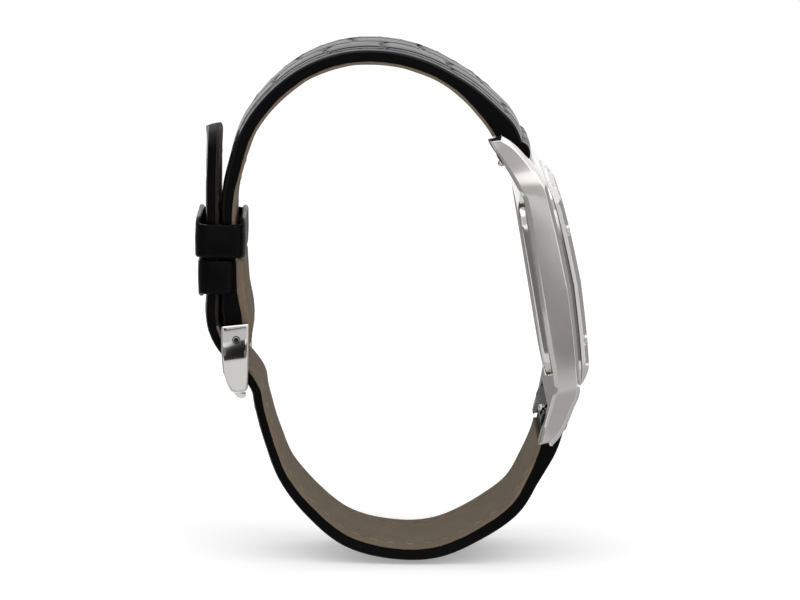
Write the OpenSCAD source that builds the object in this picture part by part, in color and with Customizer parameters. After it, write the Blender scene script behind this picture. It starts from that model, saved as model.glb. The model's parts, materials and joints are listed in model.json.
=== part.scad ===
// Square wristwatch on a two-piece leather strap, buckled as it is worn.
// X points out of the dial, Y towards 3 o'clock and Z towards 12 o'clock.
// The origin is the middle of the flat outer face of the case back.

/* [Case] */
// Width of the square recess for the dial in the front of the case
dial_w = 25.6; // [25:0.1:26]
// Half of the distance from lug tip to lug tip
lug_reach = 21.9; // [21:0.1:23]
// Gap between the two lugs of a pair
lug_gap = 20.3; // [19.5:0.1:20.8]
// Width of the case at the lug tips
lug_tip_w = 25.8; // [25:0.1:27]
// Half of the height of the case body between the lugs
body_reach = 16.7; // [16.4:0.1:16.8]
// Height of the case front over the case back at the middle
front_x = 5.5; // [5.45:0.05:5.7]
// Corner radius of the recess and the opening
cavity_r = 3; // [2:0.1:4]
// Width of the polished slope along the front of each flank
front_slope = 0.7; // [0.5:0.05:0.9]
// Width of the polished slope along the rear of each flank
rear_slope = 0.5; // [0.3:0.05:0.7]

/* [Bezel and crystal] */
// Corner radius of the bezel
bezel_r = 4; // [3:0.1:5]
// Thickness of the bezel at its middle
bezel_t = 1.5; // [1.4:0.05:1.6]
// Height of the crystal over the bezel
crystal_proud = 0.06; // [0.02:0.01:0.1]
// Corner radius of the crystal
crystal_r = 2.4; // [2:0.1:3]
// Width of the gasket round the crystal
crystal_gasket_t = 0.35; // [0.25:0.05:0.5]
// Distance of the bezel screws from the middle lines
bezel_screw_spread = 7.75; // [7:0.05:8.5]
// Diameter of the bezel screw heads
bezel_screw_d = 1.5; // [1.2:0.05:1.6]

/* [Case back] */
// Width of the case back
back_w = 28.4; // [27.8:0.1:28.8]
// Height of the case back
back_h = 24.8; // [24.6:0.1:25]
// Thickness of the case back outside the case
back_t = 1.1; // [1:0.05:1.15]
// Diameter of the case back screw heads
back_screw_d = 1.4; // [1.2:0.05:1.5]

/* [Dial and hands] */
// Thickness of the dial
dial_t = 0.35; // [0.3:0.05:0.4]
// Hour that the hands show
show_hour = 10; // [0:1:11]
// Minute that the hands show
show_minute = 9; // [0:1:59]
// Second that the hands show
show_second = 35; // [0:1:59]
// Length of the hour hand from the centre
hour_hand_l = 6.6; // [5.5:0.1:7]
// Length of the minute hand from the centre
minute_hand_l = 9.6; // [8:0.1:10]
// Length of the seconds hand from the centre
seconds_hand_l = 10.2; // [8:0.1:10.2]

/* [Movement] */
// Diameter of the movement
movement_d = 22.4; // [22:0.1:23]
// Thickness of a train wheel
wheel_t = 0.15; // [0.12:0.01:0.18]
// Diameter of the battery
battery_d = 6.8; // [6.6:0.05:6.9]
// Thickness of the battery
battery_t = 1.65; // [1.55:0.05:1.7]
// Radius of the arbor pivots
pivot_r = 0.1; // [0.08:0.01:0.12]
// Running clearance of pivots, pipes and pins
run_gap = 0.03; // [0.02:0.005:0.05]

/* [Crown] */
// Diameter of the crown
crown_d = 5.4; // [5:0.1:6]
// Length of the crown
crown_l = 3.2; // [3:0.1:3.6]
// Number of grooves round the crown
crown_grooves = 28; // [20:1:36]
// Travel of the crown when it is pulled out
crown_pull = 1; // [0.8:0.1:1]
// Radius of the winding stem
stem_r = 0.5; // [0.45:0.01:0.55]

/* [Strap] */
// Width of the strap at the lugs
strap_lug_w = 19.8; // [19:0.1:20]
// Width of the strap at the buckle
strap_buckle_w = 16; // [15.6:0.1:16.2]
// Thickness of the leather along its middle
leather_t = 1.9; // [1.7:0.05:2]
// Thickness of the leather near the buckle
leather_end_t = 1.5; // [1.4:0.05:1.55]
// Amount by which the leather is thinner along its edges
leather_edge_drop = 0.35; // [0.2:0.05:0.5]
// Padding that is added to the leather at the upper lugs
top_pad_t = 1.9; // [1.7:0.1:2]
// Padding that is added to the leather at the lower lugs
bottom_pad_t = 1.1; // [0.9:0.1:1.3]
// Amount by which the folded end of the top half is thicker
leather_fold_t = 0.8; // [0.6:0.05:0.9]
// Thickness of the lining
lining_t = 0.45; // [0.4:0.05:0.5]
// Amount by which the flap of lining that is folded back over the buckle bar is thicker
flap_t = 0.8; // [0.7:0.05:0.9]
// Distance from the case back to the far side of the loop
loop_depth = 40; // [39.8:0.1:40.2]
// Height of the top of the loop over the middle of the watch
loop_top = 35; // [34:0.1:36]
// Depth of the bottom of the loop under the middle of the watch
loop_bottom = 34.3; // [33:0.1:35]
// Radius of the rolled strap end round a spring bar
strap_roll_r = 1.9; // [1.8:0.05:2]
// Diameter of the holes in the strap tail
tail_hole_d = 1.8; // [1.6:0.1:2]
// Spacing of the holes in the strap tail
tail_hole_pitch = 6.5; // [6:0.1:7]

/* [Spring bars] */
// Outer radius of the spring bar tube
bar_r = 0.75; // [0.7:0.01:0.8]
// Radius of the spring bar tips
bar_tip_r = 0.4; // [0.35:0.01:0.45]
// Depth of the tip holes in the lugs
bar_hole_depth = 1.1; // [0.9:0.05:1.2]
// Travel of the release knobs
release_travel = 1.2; // [1.2:0.05:1.4]

/* [Buckle and keepers] */
// Radius of the buckle hinge bar
buckle_bar_r = 0.45; // [0.4:0.01:0.5]
// Thickness of each buckle arm
buckle_arm_t = 1.7; // [1.5:0.05:2]
// Radius of the front bar of the buckle
buckle_front_r = 0.85; // [0.8:0.01:0.9]
// Amount by which the front bar bows away from the hinge
buckle_bow = 1.2; // [1:0.1:1.2]
// Width of the tang
tang_w = 1.7; // [1.5:0.05:1.8]
// Thickness of the keeper leather
keeper_t = 0.75; // [0.7:0.01:0.8]
// Height of each keeper
keeper_h = 4.7; // [4.5:0.05:4.8]
// Radius of the outer corners of the keepers
keeper_r = 1.9; // [1.5:0.1:2.2]
// Depth of the stack that the fixed keeper goes round
fixed_keeper_depth = 3.65; // [3.65:0.05:3.75]
// Depth of the stack that the sliding keeper goes round
sliding_keeper_depth = 5.4; // [5.4:0.05:5.6]

/* [Hidden] */
$fn = 48;

// Colours of the finished parts
steel = [0.68, 0.66, 0.63];
bright_steel = [0.82, 0.82, 0.80];
brass = [0.80, 0.68, 0.36];
black_leather = [0.03, 0.03, 0.03];
lining_leather = [0.55, 0.49, 0.40];

// Widths that follow from the dial: the steps between the square pieces keep their size
crystal_edge = 0.9;
bezel_rim = 1.6;
bezel_rim_h = 1.8;
case_rim = 1.3;
dial_seat_w = 1.1;
crystal_w = dial_w - 2 * crystal_edge;
bezel_w = dial_w + 2 * bezel_rim;
bezel_h = dial_w + 2 * bezel_rim_h;
case_w = bezel_w + 2 * case_rim;
opening_w = dial_w - 2 * dial_seat_w;
// Distance of each row of bezel screws from the middle
bezel_screw_row = dial_w / 2 + 0.5;

// Side view of the case, as [x, z] for the upper half: the front edge, the edges of the flat
// flank and the rear edge, from the middle of the case to the lug tip
lug_z = lug_reach;
shoulder_z = bezel_h / 2 + 0.1;
front_edge = [
    [front_x, 0], [front_x - 0.28, 6], [front_x - 0.7, 11.3], [front_x - 1.1, shoulder_z],
    [front_x - 2.37, lug_z - 4.7], [front_x - 3.63, lug_z - 2.5], [front_x - 4.8, lug_z - 1],
    [front_x - 5.95, lug_z]
];
flank_front = [for (i = [0:7]) front_edge[i] - [0.57 - 0.05 * i, i < 3 ? 0 : 0.1 * i]];
rear_edge = [
    [back_t, 0], [back_t, 6], [back_t, back_h / 2 + 0.2], [back_t - 0.6, shoulder_z],
    [back_t - 1.5, lug_z - 4.9], [back_t - 2.3, lug_z - 3], [back_t - 2.95, lug_z - 1.8],
    [back_t - 3.5, lug_z - 0.5]
];
flank_rear = [for (i = [0:7]) rear_edge[i] + [0.6 - 0.01 * i, i < 3 ? 0 : -0.02 * i]];
// Half widths of the case at the same places
flank_y = [
    case_w / 2, case_w / 2, case_w / 2, case_w / 2 - 0.3, lug_tip_w / 2 + 1.3,
    lug_tip_w / 2 + 0.55, lug_tip_w / 2 + 0.15, lug_tip_w / 2
];
case_steps = 21;

// Spring bars of the strap, and the buckle bar
lug_bar = [0.3, lug_reach - 2.6];
buckle_bar_at = [-loop_depth - 1.35, -0.45];
front_bar_at = buckle_bar_at + [-0.91, -6.62];

// Heights of the layers of the movement, from the case back
bridge_x = 1.55;
bridge_t = 0.3;
plate_x = 3.25;
plate_t = 0.8;
dial_x = plate_x + plate_t + 0.1;
seat_x = dial_x - 0.5;
hand_x = dial_x + dial_t + 0.3;
hand_step = 0.28;
hand_t = 0.13;
// The dial ring and the crystal meet this far over the front of the case
crystal_seat = 0.75;

// Teeth and modules of the train
rotor_teeth = 8;
intermediate_teeth = 48;
intermediate_pinion = 8;
seconds_teeth = 40;
seconds_pinion = 8;
third_teeth = 60;
third_pinion = 8;
centre_teeth = 64;
cannon_teeth = 12;
minute_teeth = 36;
minute_pinion = 10;
hour_teeth = 40;
rotor_m = 0.09;
seconds_m = 0.125;
third_m = 0.085;
cannon_m = 0.1;
third_distance = third_m * (seconds_pinion + third_teeth) / 2;
centre_m = 2 * third_distance / (third_pinion + centre_teeth);
minute_distance = cannon_m * (cannon_teeth + minute_teeth) / 2;
hour_m = 2 * minute_distance / (minute_pinion + hour_teeth);

// Directions in which the arbors lie from the one before, and their places as [y, z]
intermediate_dir = 120;
rotor_dir = 95;
third_dir = 300;
minute_dir = 340;
function heading(a) = [cos(a), sin(a)];
intermediate_distance = seconds_m * (intermediate_pinion + seconds_teeth) / 2;
rotor_distance = rotor_m * (rotor_teeth + intermediate_teeth) / 2;
intermediate_at = intermediate_distance * heading(intermediate_dir);
rotor_at = intermediate_at + rotor_distance * heading(rotor_dir);
third_at = third_distance * heading(third_dir);
minute_at = minute_distance * heading(minute_dir);
battery_at = [-4.9, -4.9];
bridge_posts = [[-4.9, 2.6], [4.7, 3.3], [2.6, -6.4]];

// Radii of the nested pipes at the centre
seconds_arbor_r = 0.14;
cannon_bore = seconds_arbor_r + run_gap;
cannon_r = 0.33;
hour_bore = cannon_r + run_gap;
hour_pipe_r = 0.6;

// Stem and crown, along Y
stem_x = 3.3;
crown_y = case_w / 2 + 0.25;
tube_r = 1.1;
tube_end = crown_y + 1.5;
lever_at = [8.9, 2.4];

// Point on a smooth curve through the points p, where t runs from 0 to 1
function curve(p, t) =
    let (n = len(p) - 1, u = min(max(t * n, 0), n - 0.000001), i = floor(u), f = u - i)
    let (a = p[max(i - 1, 0)], b = p[i], c = p[i + 1], d = p[min(i + 2, n)])
    0.5 * (2 * b + (c - a) * f + (2 * a - 5 * b + 4 * c - d) * pow(f, 2)
        + (3 * b - a - 3 * c + d) * pow(f, 3));

// Soft step from 0 to 1 while t runs from 0 to 1
function ease(t) = let (k = min(max(t, 0), 1)) k * k * (3 - 2 * k);

// Outline of a rectangle with round corners, with 6 steps a corner
function round_box(w, h, r) = [
    for (c = [0:3], s = [0:6])
        let (a = 90 * c + 15 * s, sy = c == 0 || c == 3 ? 1 : -1, sz = c < 2 ? 1 : -1)
        [sy * (w / 2 - r) + r * cos(a), sz * (h / 2 - r) + r * sin(a)]
];

// Solid through a list of rings that have the same number of points. The second half of each
// ring mirrors its first half, so that strips across it close the ends
module loft(rings) {
    n = len(rings[0]);
    last = len(rings) - 1;
    sides = [
        for (i = [0:last - 1], j = [0:n - 1])
            let (a = i * n + j, b = i * n + (j + 1) % n)
            each [[a, b + n, b], [a, a + n, b + n]]
    ];
    ends = [
        for (j = [0:n / 2 - 2], e = [0, 1])
            let (k = e * last * n, q = [k + j, k + j + 1, k + n - 2 - j, k + n - 1 - j])
            each e == 0
                ? [[q[0], q[1], q[2]], [q[0], q[2], q[3]]]
                : [[q[2], q[1], q[0]], [q[3], q[2], q[0]]]
    ];
    polyhedron(points = [for (r = rings) each r], faces = concat(sides, ends));
}

// Drawing in the plane of the dial, raised to x and thick t towards the front
module plan(x, t) {
    translate([x, 0, 0]) rotate([90, 0, 90]) linear_extrude(t) children();
}

// Drawing in side view, from y0 to y1
module side(y0, y1) {
    translate([0, y1, 0]) rotate([90, 0, 0]) linear_extrude(y1 - y0) children();
}

// Round bar along X, at at = [y, z]
module round_x(x0, x1, r, at = [0, 0]) {
    translate([x0, at[0], at[1]]) rotate([0, 90, 0]) cylinder(h = x1 - x0, r = r);
}

// Round bar along Y, at at = [x, z]
module round_y(y0, y1, r, at) {
    translate([at[0], y0, at[1]]) rotate([-90, 0, 0]) cylinder(h = y1 - y0, r = r);
}

// Plate with sloping edges, from levels of [x, inset]
module plate_by_levels(w, h, r, levels) {
    loft([
        for (l = levels) [
            for (p = round_box(w - 2 * l[1], h - 2 * l[1], r - l[1])) [l[0], p[0], p[1]]
        ]
    ]);
}

// Toothed disc: the outline has a root, two flanks and a tip for each tooth
module gear(teeth, m) {
    pitch = 360 / teeth;
    tip = m * (teeth / 2 + 0.9);
    root = m * (teeth / 2 - 1.1);
    polygon([
        for (i = [0:teeth - 1], k = [[root, -0.31], [tip, -0.12], [tip, 0.12], [root, 0.31]])
            k[0] * [cos(pitch * (i + k[1])), sin(pitch * (i + k[1]))]
    ]);
}

// Wheel on the arbor at = [y, z], turned by turn degrees
module wheel(x, t, teeth, m, at = [0, 0], turn = 0) {
    plan(x, t) translate(at) rotate(turn) gear(teeth, m);
}

// Turn of a wheel that has a gap between two teeth in the direction dir
function gap_turn(dir, teeth) = dir + 180 / teeth;

// Case

function case_ring(u) =
    let (s = sign(u), t = abs(u), f = curve(front_edge, t), g = curve(flank_front, t))
    let (r = curve(rear_edge, t), q = curve(flank_rear, t), w = curve(flank_y, t))
    let (narrow = 1 - 0.35 * t)
    [
        [r[0], -w + rear_slope, s * r[1]], [q[0], -w, s * q[1]],
        [g[0], -w, s * g[1]], [f[0], -w + front_slope * narrow, s * f[1]],
        [f[0], w - front_slope * narrow, s * f[1]], [g[0], w, s * g[1]],
        [q[0], w, s * q[1]], [r[0], w - rear_slope, s * r[1]]
    ];

// Places of two screws on each side of the bezel, as [y, z]
function around(y, z, spread) = [
    for (s = [-1, 1], k = [-1, 1]) each [[s * y, k * spread], [k * spread, s * z]]
];
bezel_screw_at = around(bezel_screw_row, bezel_screw_row, bezel_screw_spread);
back_screw_at = [for (s = [-1, 1], z = [-8.6, 8.6]) [s * (back_w / 2 - 1.15), z]];

module mid_case() {
    color(steel) difference() {
        loft([for (i = [-case_steps:case_steps]) case_ring(i / case_steps)]);
        for (s = [-1, 1])
            translate([-10, -lug_gap / 2, s > 0 ? body_reach : -body_reach - 10])
                cube([30, lug_gap, 10]);
        plan(-1, 12) polygon(round_box(opening_w, opening_w, cavity_r));
        plan(seat_x, 12) polygon(round_box(dial_w, dial_w, cavity_r));
        round_y(opening_w / 2 - 1, case_w / 2 + 1, tube_r, [stem_x, 0]);
        for (z = [-lug_bar[1], lug_bar[1]], s = [-1, 1])
            round_y(
                s > 0 ? lug_gap / 2 - 0.1 : -lug_gap / 2 - bar_hole_depth,
                s > 0 ? lug_gap / 2 + bar_hole_depth : -lug_gap / 2 + 0.1,
                bar_tip_r + 0.05, [lug_bar[0], z]
            );
        for (p = bezel_screw_at) round_x(3, 7, 0.4, p);
        for (p = back_screw_at) round_x(0, 2.6, 0.4, p);
    }
}

// Thickness of the bezel at the fraction u of the case
function bezel_rise(u) = bezel_t * (1 - 0.77 * ease((u * 7 / 3 - 0.65) / 0.35));
bezel_steps = case_steps * 3 / 7;
bezel_stations = [for (i = [-bezel_steps:bezel_steps]) i / case_steps];

// Height of the bezel's front over the case back at the height z
function bezel_top(z) = lookup(abs(z), [
    for (i = [0:bezel_steps])
        let (u = i / case_steps, p = case_ring(u)[3]) [p[2], p[0] + bezel_rise(u)]
]);
screw_head_t = 0.3;
function bezel_screw_seat(p) = bezel_top(abs(p[1]) + bezel_screw_d / 4) - screw_head_t;

// Curved slab over the case front, from lift low to lift high over it: a lift is [share, add],
// a share of the bezel's rise and an added height
module front_slab(w, low, high) {
    side(-w / 2, w / 2) polygon([
        for (e = [low, high], i = [0:2 * bezel_steps])
            let (u = bezel_stations[e == low ? i : 2 * bezel_steps - i], p = case_ring(u)[3])
            [p[0] + bezel_rise(abs(u)) * e[0] + e[1], p[2]]
    ]);
}

module bezel_solid() {
    intersection() {
        front_slab(bezel_w, [0, 0], [1, 0]);
        plate_by_levels(
            bezel_w, bezel_h, bezel_r,
            [[0, 0], [front_x + 0.1, 0], [front_x + bezel_t + 0.2, 1]]
        );
    }
}
module bezel() {
    opening = crystal_w + 2 * crystal_gasket_t;
    color(steel) difference() {
        bezel_solid();
        plan(0, 12) polygon(round_box(opening, opening, crystal_r + crystal_gasket_t));
        for (p = bezel_screw_at) {
            round_x(0, 12, 0.4, p);
            round_x(bezel_screw_seat(p), 12, bezel_screw_d / 2, p);
        }
    }
}

// Screw along X: its head starts at x and points to the front for dir = 1, to the rear for -1
module screw_x(x, head_d, head_t, shank_l, dir, at, slot_turn) {
    difference() {
        union() {
            round_x(min(x, x + dir * head_t), max(x, x + dir * head_t), head_d / 2, at);
            round_x(min(x - dir * shank_l, x), max(x - dir * shank_l, x), 0.36, at);
        }
        translate([x + dir * head_t, at[0], at[1]]) rotate([slot_turn, 0, 0])
            cube([0.3, head_d + 1, 0.22], center = true);
    }
}

module bezel_screws() {
    color(bright_steel) for (i = [0:7])
        screw_x(
            bezel_screw_seat(bezel_screw_at[i]), bezel_screw_d - 0.06, screw_head_t, 1.8, 1,
            bezel_screw_at[i], 37 * i
        );
}

module crystal() {
    color([0.85, 0.9, 0.92, 0.4]) intersection() {
        front_slab(bezel_w, [0, crystal_seat], [1, crystal_proud]);
        plan(0, 12) polygon(round_box(crystal_w, crystal_w, crystal_r));
    }
}

// Square ring between two outlines, from x on, cut off under a lift over the case front
module square_ring(x, top, outer, outer_r, inner, inner_r) {
    intersection() {
        plan(x, 12) difference() {
            polygon(round_box(outer, outer, outer_r));
            polygon(round_box(inner, inner, inner_r));
        }
        front_slab(case_w, [0, -8], top);
    }
}

module crystal_gasket() {
    w = crystal_w + 2 * crystal_gasket_t;
    color([0.9, 0.9, 0.88]) intersection() {
        square_ring(0, [1, -0.15], w, crystal_r + crystal_gasket_t, crystal_w, crystal_r);
        front_slab(case_w, [0, 0], [1, 1]);
    }
}

module dial_ring() {
    wall = 0.3;
    color(bright_steel) for (edge = [[0, dial_w, cavity_r], [crystal_seat, crystal_w, crystal_r]])
        square_ring(
            dial_x + dial_t, [0, edge[0]], edge[1], edge[2], crystal_w - 2 * wall, crystal_r - wall
        );
}

module dial() {
    color([0.9, 0.9, 0.87]) difference() {
        plan(dial_x, dial_t) polygon(round_box(dial_w, dial_w, cavity_r));
        round_x(dial_x - 1, dial_x + 1, hour_pipe_r + 0.15);
    }
}

// Bars that point to the centre, longer at the quarters
module hour_markers() {
    color(bright_steel) for (h = [0:11]) {
        reach = (crystal_w / 2 - 1.3) / max(abs(cos(30 * h)), abs(sin(30 * h)));
        bar_l = h % 3 == 0 ? 2.6 : 2;
        plan(dial_x + dial_t, 0.25) rotate(30 * h)
            translate([min(reach, crystal_w / 2 - 0.6) - bar_l, -0.3])
            square([bar_l, 0.6]);
    }
}

module case_back() {
    color(steel) difference() {
        plate_by_levels(back_w, back_h, 3.2, [[0, 0.45], [0.4, 0], [back_t, 0]]);
        for (p = back_screw_at) {
            round_x(-1, 3, 0.4, p);
            round_x(-1, 0.35, back_screw_d / 2, p);
        }
        // Groove for the gasket
        plan(back_t - 0.25, 1) difference() {
            polygon(round_box(opening_w + 0.8, opening_w + 0.8, cavity_r + 0.35));
            polygon(round_box(opening_w + 0.1, opening_w + 0.1, cavity_r));
        }
    }
}

module case_back_gasket() {
    w = opening_w + 0.1;
    color([0.12, 0.12, 0.12]) plan(back_t - 0.25, 0.25) difference() {
        polygon(round_box(w + 0.7, w + 0.7, cavity_r + 0.35));
        polygon(round_box(w, w, cavity_r));
    }
}

module case_back_screws() {
    color(bright_steel) for (i = [0:3])
        screw_x(0.35, back_screw_d - 0.06, 0.3, 1.8, -1, back_screw_at[i], 29 * i);
}

// Movement

holder_bore_r = movement_d / 2 + 0.05;
module movement_holder() {
    color([0.86, 0.84, 0.78]) difference() {
        union() {
            plan(back_t + 0.1, seat_x - back_t)
                polygon(round_box(opening_w - 0.1, opening_w - 0.1, cavity_r));
            plan(seat_x + 0.05, dial_x - seat_x - 0.05)
                polygon(round_box(dial_w - 0.1, dial_w - 0.1, cavity_r));
        }
        round_x(0, 6, holder_bore_r);
        translate([stem_x - tube_r, 0, -tube_r]) cube([2 * tube_r, 20, 2 * tube_r]);
    }
}

module crown_tube() {
    color(steel) difference() {
        round_y(dial_w / 2 + 0.05, tube_end, tube_r, [stem_x, 0]);
        round_y(dial_w / 2 - 1, tube_end + 1, stem_r + run_gap, [stem_x, 0]);
    }
}

module main_plate() {
    color(brass) difference() {
        union() {
            round_x(plate_x, plate_x + plate_t, movement_d / 2);
            for (p = bridge_posts) round_x(bridge_x + bridge_t, plate_x + 0.1, 0.85, p);
        }
        // Room for the motion work behind the dial
        round_x(plate_x + 0.25, 6, 2.35);
        round_x(plate_x + 0.25, 6, 2.25, minute_at);
        round_x(0, 6, cannon_r + run_gap);
        for (p = [intermediate_at, rotor_at, third_at, minute_at])
            round_x(0, 6, pivot_r + run_gap, p);
        for (p = bridge_posts) round_x(0, 2.9, 0.3, p);
        round_x(0, 6, 0.3 + run_gap, lever_at);
        // Channel for the stem, the sliding pinion and the setting lever
        translate([0, 4.6, -1.25]) cube([6, 20, 2.5]);
        // Seat of the battery
        round_x(0, plate_x + 0.15, battery_d / 2 + 0.1, battery_at);
    }
}

module train_bridge() {
    color(brass) difference() {
        plan(bridge_x, bridge_t) union() {
            for (p = bridge_posts) translate(p) circle(1.15);
            polygon([
                bridge_posts[2] + [1.1, -0.4], bridge_posts[1] + [1.1, -0.3],
                bridge_posts[1] + [0.4, 1.05], rotor_at + [1.2, 1.2], rotor_at + [-0.8, 1.2],
                bridge_posts[0] + [-0.6, 1], bridge_posts[0] + [-0.9, -0.8], [-1.6, -1.3],
                bridge_posts[2] + [-1.1, 0.2]
            ]);
        }
        for (p = [[0, 0], intermediate_at, rotor_at, third_at]) round_x(0, 3, pivot_r + run_gap, p);
        for (p = bridge_posts) round_x(0, 3, 0.36, p);
    }
}

module bridge_screws() {
    color(bright_steel) for (i = [0:2]) difference() {
        union() {
            round_x(bridge_x - 0.2, bridge_x, 0.6, bridge_posts[i]);
            round_x(bridge_x - 0.1, 2.8, 0.28, bridge_posts[i]);
        }
        translate([bridge_x - 0.2, bridge_posts[i][0], bridge_posts[i][1]]) rotate([50 * i, 0, 0])
            cube([0.2, 2, 0.16], center = true);
    }
}

battery_x = plate_x + 0.15 - battery_t;
module battery() {
    color(bright_steel) difference() {
        union() {
            round_x(battery_x + 0.2, battery_x + battery_t, battery_d / 2, battery_at);
            round_x(battery_x, battery_x + 0.3, battery_d / 2 - 0.7, battery_at);
        }
    }
}

module battery_clamp() {
    color(brass) plan(battery_x - 0.2, 0.2) union() {
        translate(battery_at) circle(1.7);
        translate(battery_at) rotate(45) translate([-4.1, -0.7]) square([4.1, 1.4]);
    }
}

module circuit_board() {
    color([0.1, 0.35, 0.2]) difference() {
        plan(plate_x - 0.35, 0.35) intersection() {
            circle(movement_d / 2 - 0.5);
            polygon([[4.6, -1.7], [10.6, -1.7], [10.6, -10.6], [-0.6, -10.6], [-0.6, -7.6], [4.6, -7.2]]);
        }
        round_x(0, 5, 1, bridge_posts[2]);
    }
    color([0.05, 0.05, 0.05]) translate([plate_x - 0.95, 5.3, -4]) cube([0.6, 2, 1.8]);
}

module quartz_can() {
    color(bright_steel) translate([plate_x - 0.35 - 0.76, 3.2, -9.4]) rotate([65, 0, 0])
        rotate([-90, 0, 0]) cylinder(h = 5, r = 0.75);
}

coil_z = 7.6;
module motor_coil() {
    color([0.72, 0.38, 0.18]) round_y(-4, 3, 0.8, [2.45, coil_z]);
    color(steel) for (y = [-6, 3]) translate([2.3, y, coil_z - 0.6]) cube([0.3, 2, 1.2]);
}

module stator() {
    color(steel) difference() {
        plan(2.65, 0.3) polygon([
            [-6, coil_z + 0.6], [-6, 5.4], [-3.6, 3.9], [1, 3.9], [5, 5.9], [5, coil_z + 0.6],
            [3, coil_z + 0.6], [3, 6.35], [-4, 6.35], [-4, coil_z + 0.6]
        ]);
        round_x(0, 5, 0.95, rotor_at);
    }
}

// Train, from the rotor to the hour wheel

module arbor(x0, x1, at, r = 0.2) {
    round_x(x0, x1, pivot_r, at);
    round_x(bridge_x + bridge_t + 0.06, plate_x - 0.06, r, at);
}

rotor_x = bridge_x + bridge_t + 0.15;
module rotor() {
    color(bright_steel) union() {
        arbor(bridge_x + 0.02, plate_x + 0.3, rotor_at);
        wheel(rotor_x, 0.35, rotor_teeth, rotor_m, rotor_at, rotor_dir + 180);
        round_x(rotor_x + 0.5, rotor_x + 1.1, 0.7, rotor_at);
    }
}

module intermediate_wheel() {
    color(brass) union() {
        arbor(bridge_x + 0.02, plate_x + 0.2, intermediate_at);
        wheel(
            rotor_x + 0.1, wheel_t, intermediate_teeth, rotor_m, intermediate_at,
            gap_turn(rotor_dir, intermediate_teeth)
        );
        wheel(
            rotor_x + 0.1 + wheel_t, 0.5, intermediate_pinion, seconds_m, intermediate_at,
            intermediate_dir + 180
        );
    }
}

seconds_x = rotor_x + 0.42;
module seconds_wheel() {
    color(brass) union() {
        round_x(bridge_x + 0.02, hand_x + 2 * hand_step + hand_t, pivot_r);
        round_x(bridge_x + bridge_t + 0.06, hand_x + 2 * hand_step - 0.1, seconds_arbor_r);
        wheel(
            seconds_x, wheel_t, seconds_teeth, seconds_m, [0, 0],
            gap_turn(intermediate_dir, seconds_teeth)
        );
        wheel(seconds_x + wheel_t, 0.3, seconds_pinion, third_m, [0, 0], third_dir);
    }
}

third_x = seconds_x + wheel_t + 0.08;
module third_wheel() {
    color(brass) union() {
        arbor(bridge_x + 0.02, plate_x + 0.2, third_at, 0.18);
        wheel(
            third_x, wheel_t, third_teeth, third_m, third_at,
            gap_turn(third_dir + 180, third_teeth)
        );
        wheel(third_x + wheel_t, 0.38, third_pinion, centre_m, third_at, third_dir + 180);
    }
}

centre_x = third_x + wheel_t + 0.12;
cannon_x = plate_x + 0.31;
module centre_wheel() {
    color(brass) difference() {
        union() {
            wheel(
                centre_x, wheel_t, centre_teeth, centre_m, [0, 0],
                gap_turn(third_dir, centre_teeth)
            );
            round_x(centre_x, hand_x + hand_step + hand_t, cannon_r);
            wheel(cannon_x, 0.2, cannon_teeth, cannon_m, [0, 0], minute_dir);
        }
        round_x(0, 12, cannon_bore);
    }
}

minute_x = cannon_x + 0.03;
module minute_wheel() {
    color(brass) union() {
        round_x(plate_x + 0.02, dial_x - 0.05, pivot_r, minute_at);
        wheel(
            minute_x, 0.12, minute_teeth, cannon_m, minute_at,
            gap_turn(minute_dir + 180, minute_teeth)
        );
        wheel(minute_x + 0.1, 0.36, minute_pinion, hour_m, minute_at, minute_dir + 180);
    }
}

hour_x = minute_x + 0.24;
module hour_wheel() {
    color(brass) difference() {
        union() {
            wheel(
                hour_x, wheel_t, hour_teeth, hour_m, [0, 0], gap_turn(minute_dir, hour_teeth)
            );
            round_x(hour_x, hand_x + hand_t, hour_pipe_r);
        }
        round_x(0, 12, hour_bore);
    }
}

// Hands, turned clockwise to the time that they show

minute_turn = 6 * (show_minute + show_second / 60);
hour_turn = 30 * show_hour + minute_turn / 12;

// Hand with a round boss, a tapering blade of length l and a tail
module hand(x, l, w, tail, boss_r, bore_r, turn) {
    rotate([-turn, 0, 0]) difference() {
        plan(x, hand_t) union() {
            circle(boss_r);
            polygon([[-w / 3, -tail], [w / 3, -tail], [w / 2, l * 0.8], [0, l], [-w / 2, l * 0.8]]);
        }
        round_x(x - 1, x + 1, bore_r);
    }
}

module hour_hand() {
    color([0.1, 0.12, 0.2]) hand(hand_x, hour_hand_l, 1, 1.3, 1, hour_pipe_r, hour_turn);
}

module minute_hand() {
    color([0.1, 0.12, 0.2])
        hand(hand_x + hand_step, minute_hand_l, 0.8, 1.5, 0.75, cannon_r, minute_turn);
}

module seconds_hand() {
    color([0.1, 0.12, 0.2]) hand(
        hand_x + 2 * hand_step, seconds_hand_l, 0.3, 2.8, 0.5, pivot_r, 6 * show_second
    );
}

// Stem, crown and setting parts

groove_y = [lever_at[0] - 0.26, lever_at[0] + 0.26];
pinion_y = [5.4, 7];
stem_end = crown_y + 2.1;
module stem() {
    color(steel) difference() {
        union() {
            round_y(pinion_y[1] + 0.3, stem_end, stem_r, [stem_x, 0]);
            translate([stem_x - 0.26, pinion_y[0], -0.26]) cube([0.52, 2.5, 0.52]);
        }
        difference() {
            round_y(groove_y[0], groove_y[1], stem_r + 0.1, [stem_x, 0]);
            round_y(groove_y[0] - 1, groove_y[1] + 1, 0.28, [stem_x, 0]);
        }
    }
}

module sliding_pinion() {
    color(steel) difference() {
        translate([stem_x, pinion_y[1], 0]) rotate([90, 0, 0])
            linear_extrude(pinion_y[1] - pinion_y[0]) gear(14, 0.1);
        translate([stem_x - 0.29, 0, -0.29]) cube([0.58, 20, 0.58]);
    }
}

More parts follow.
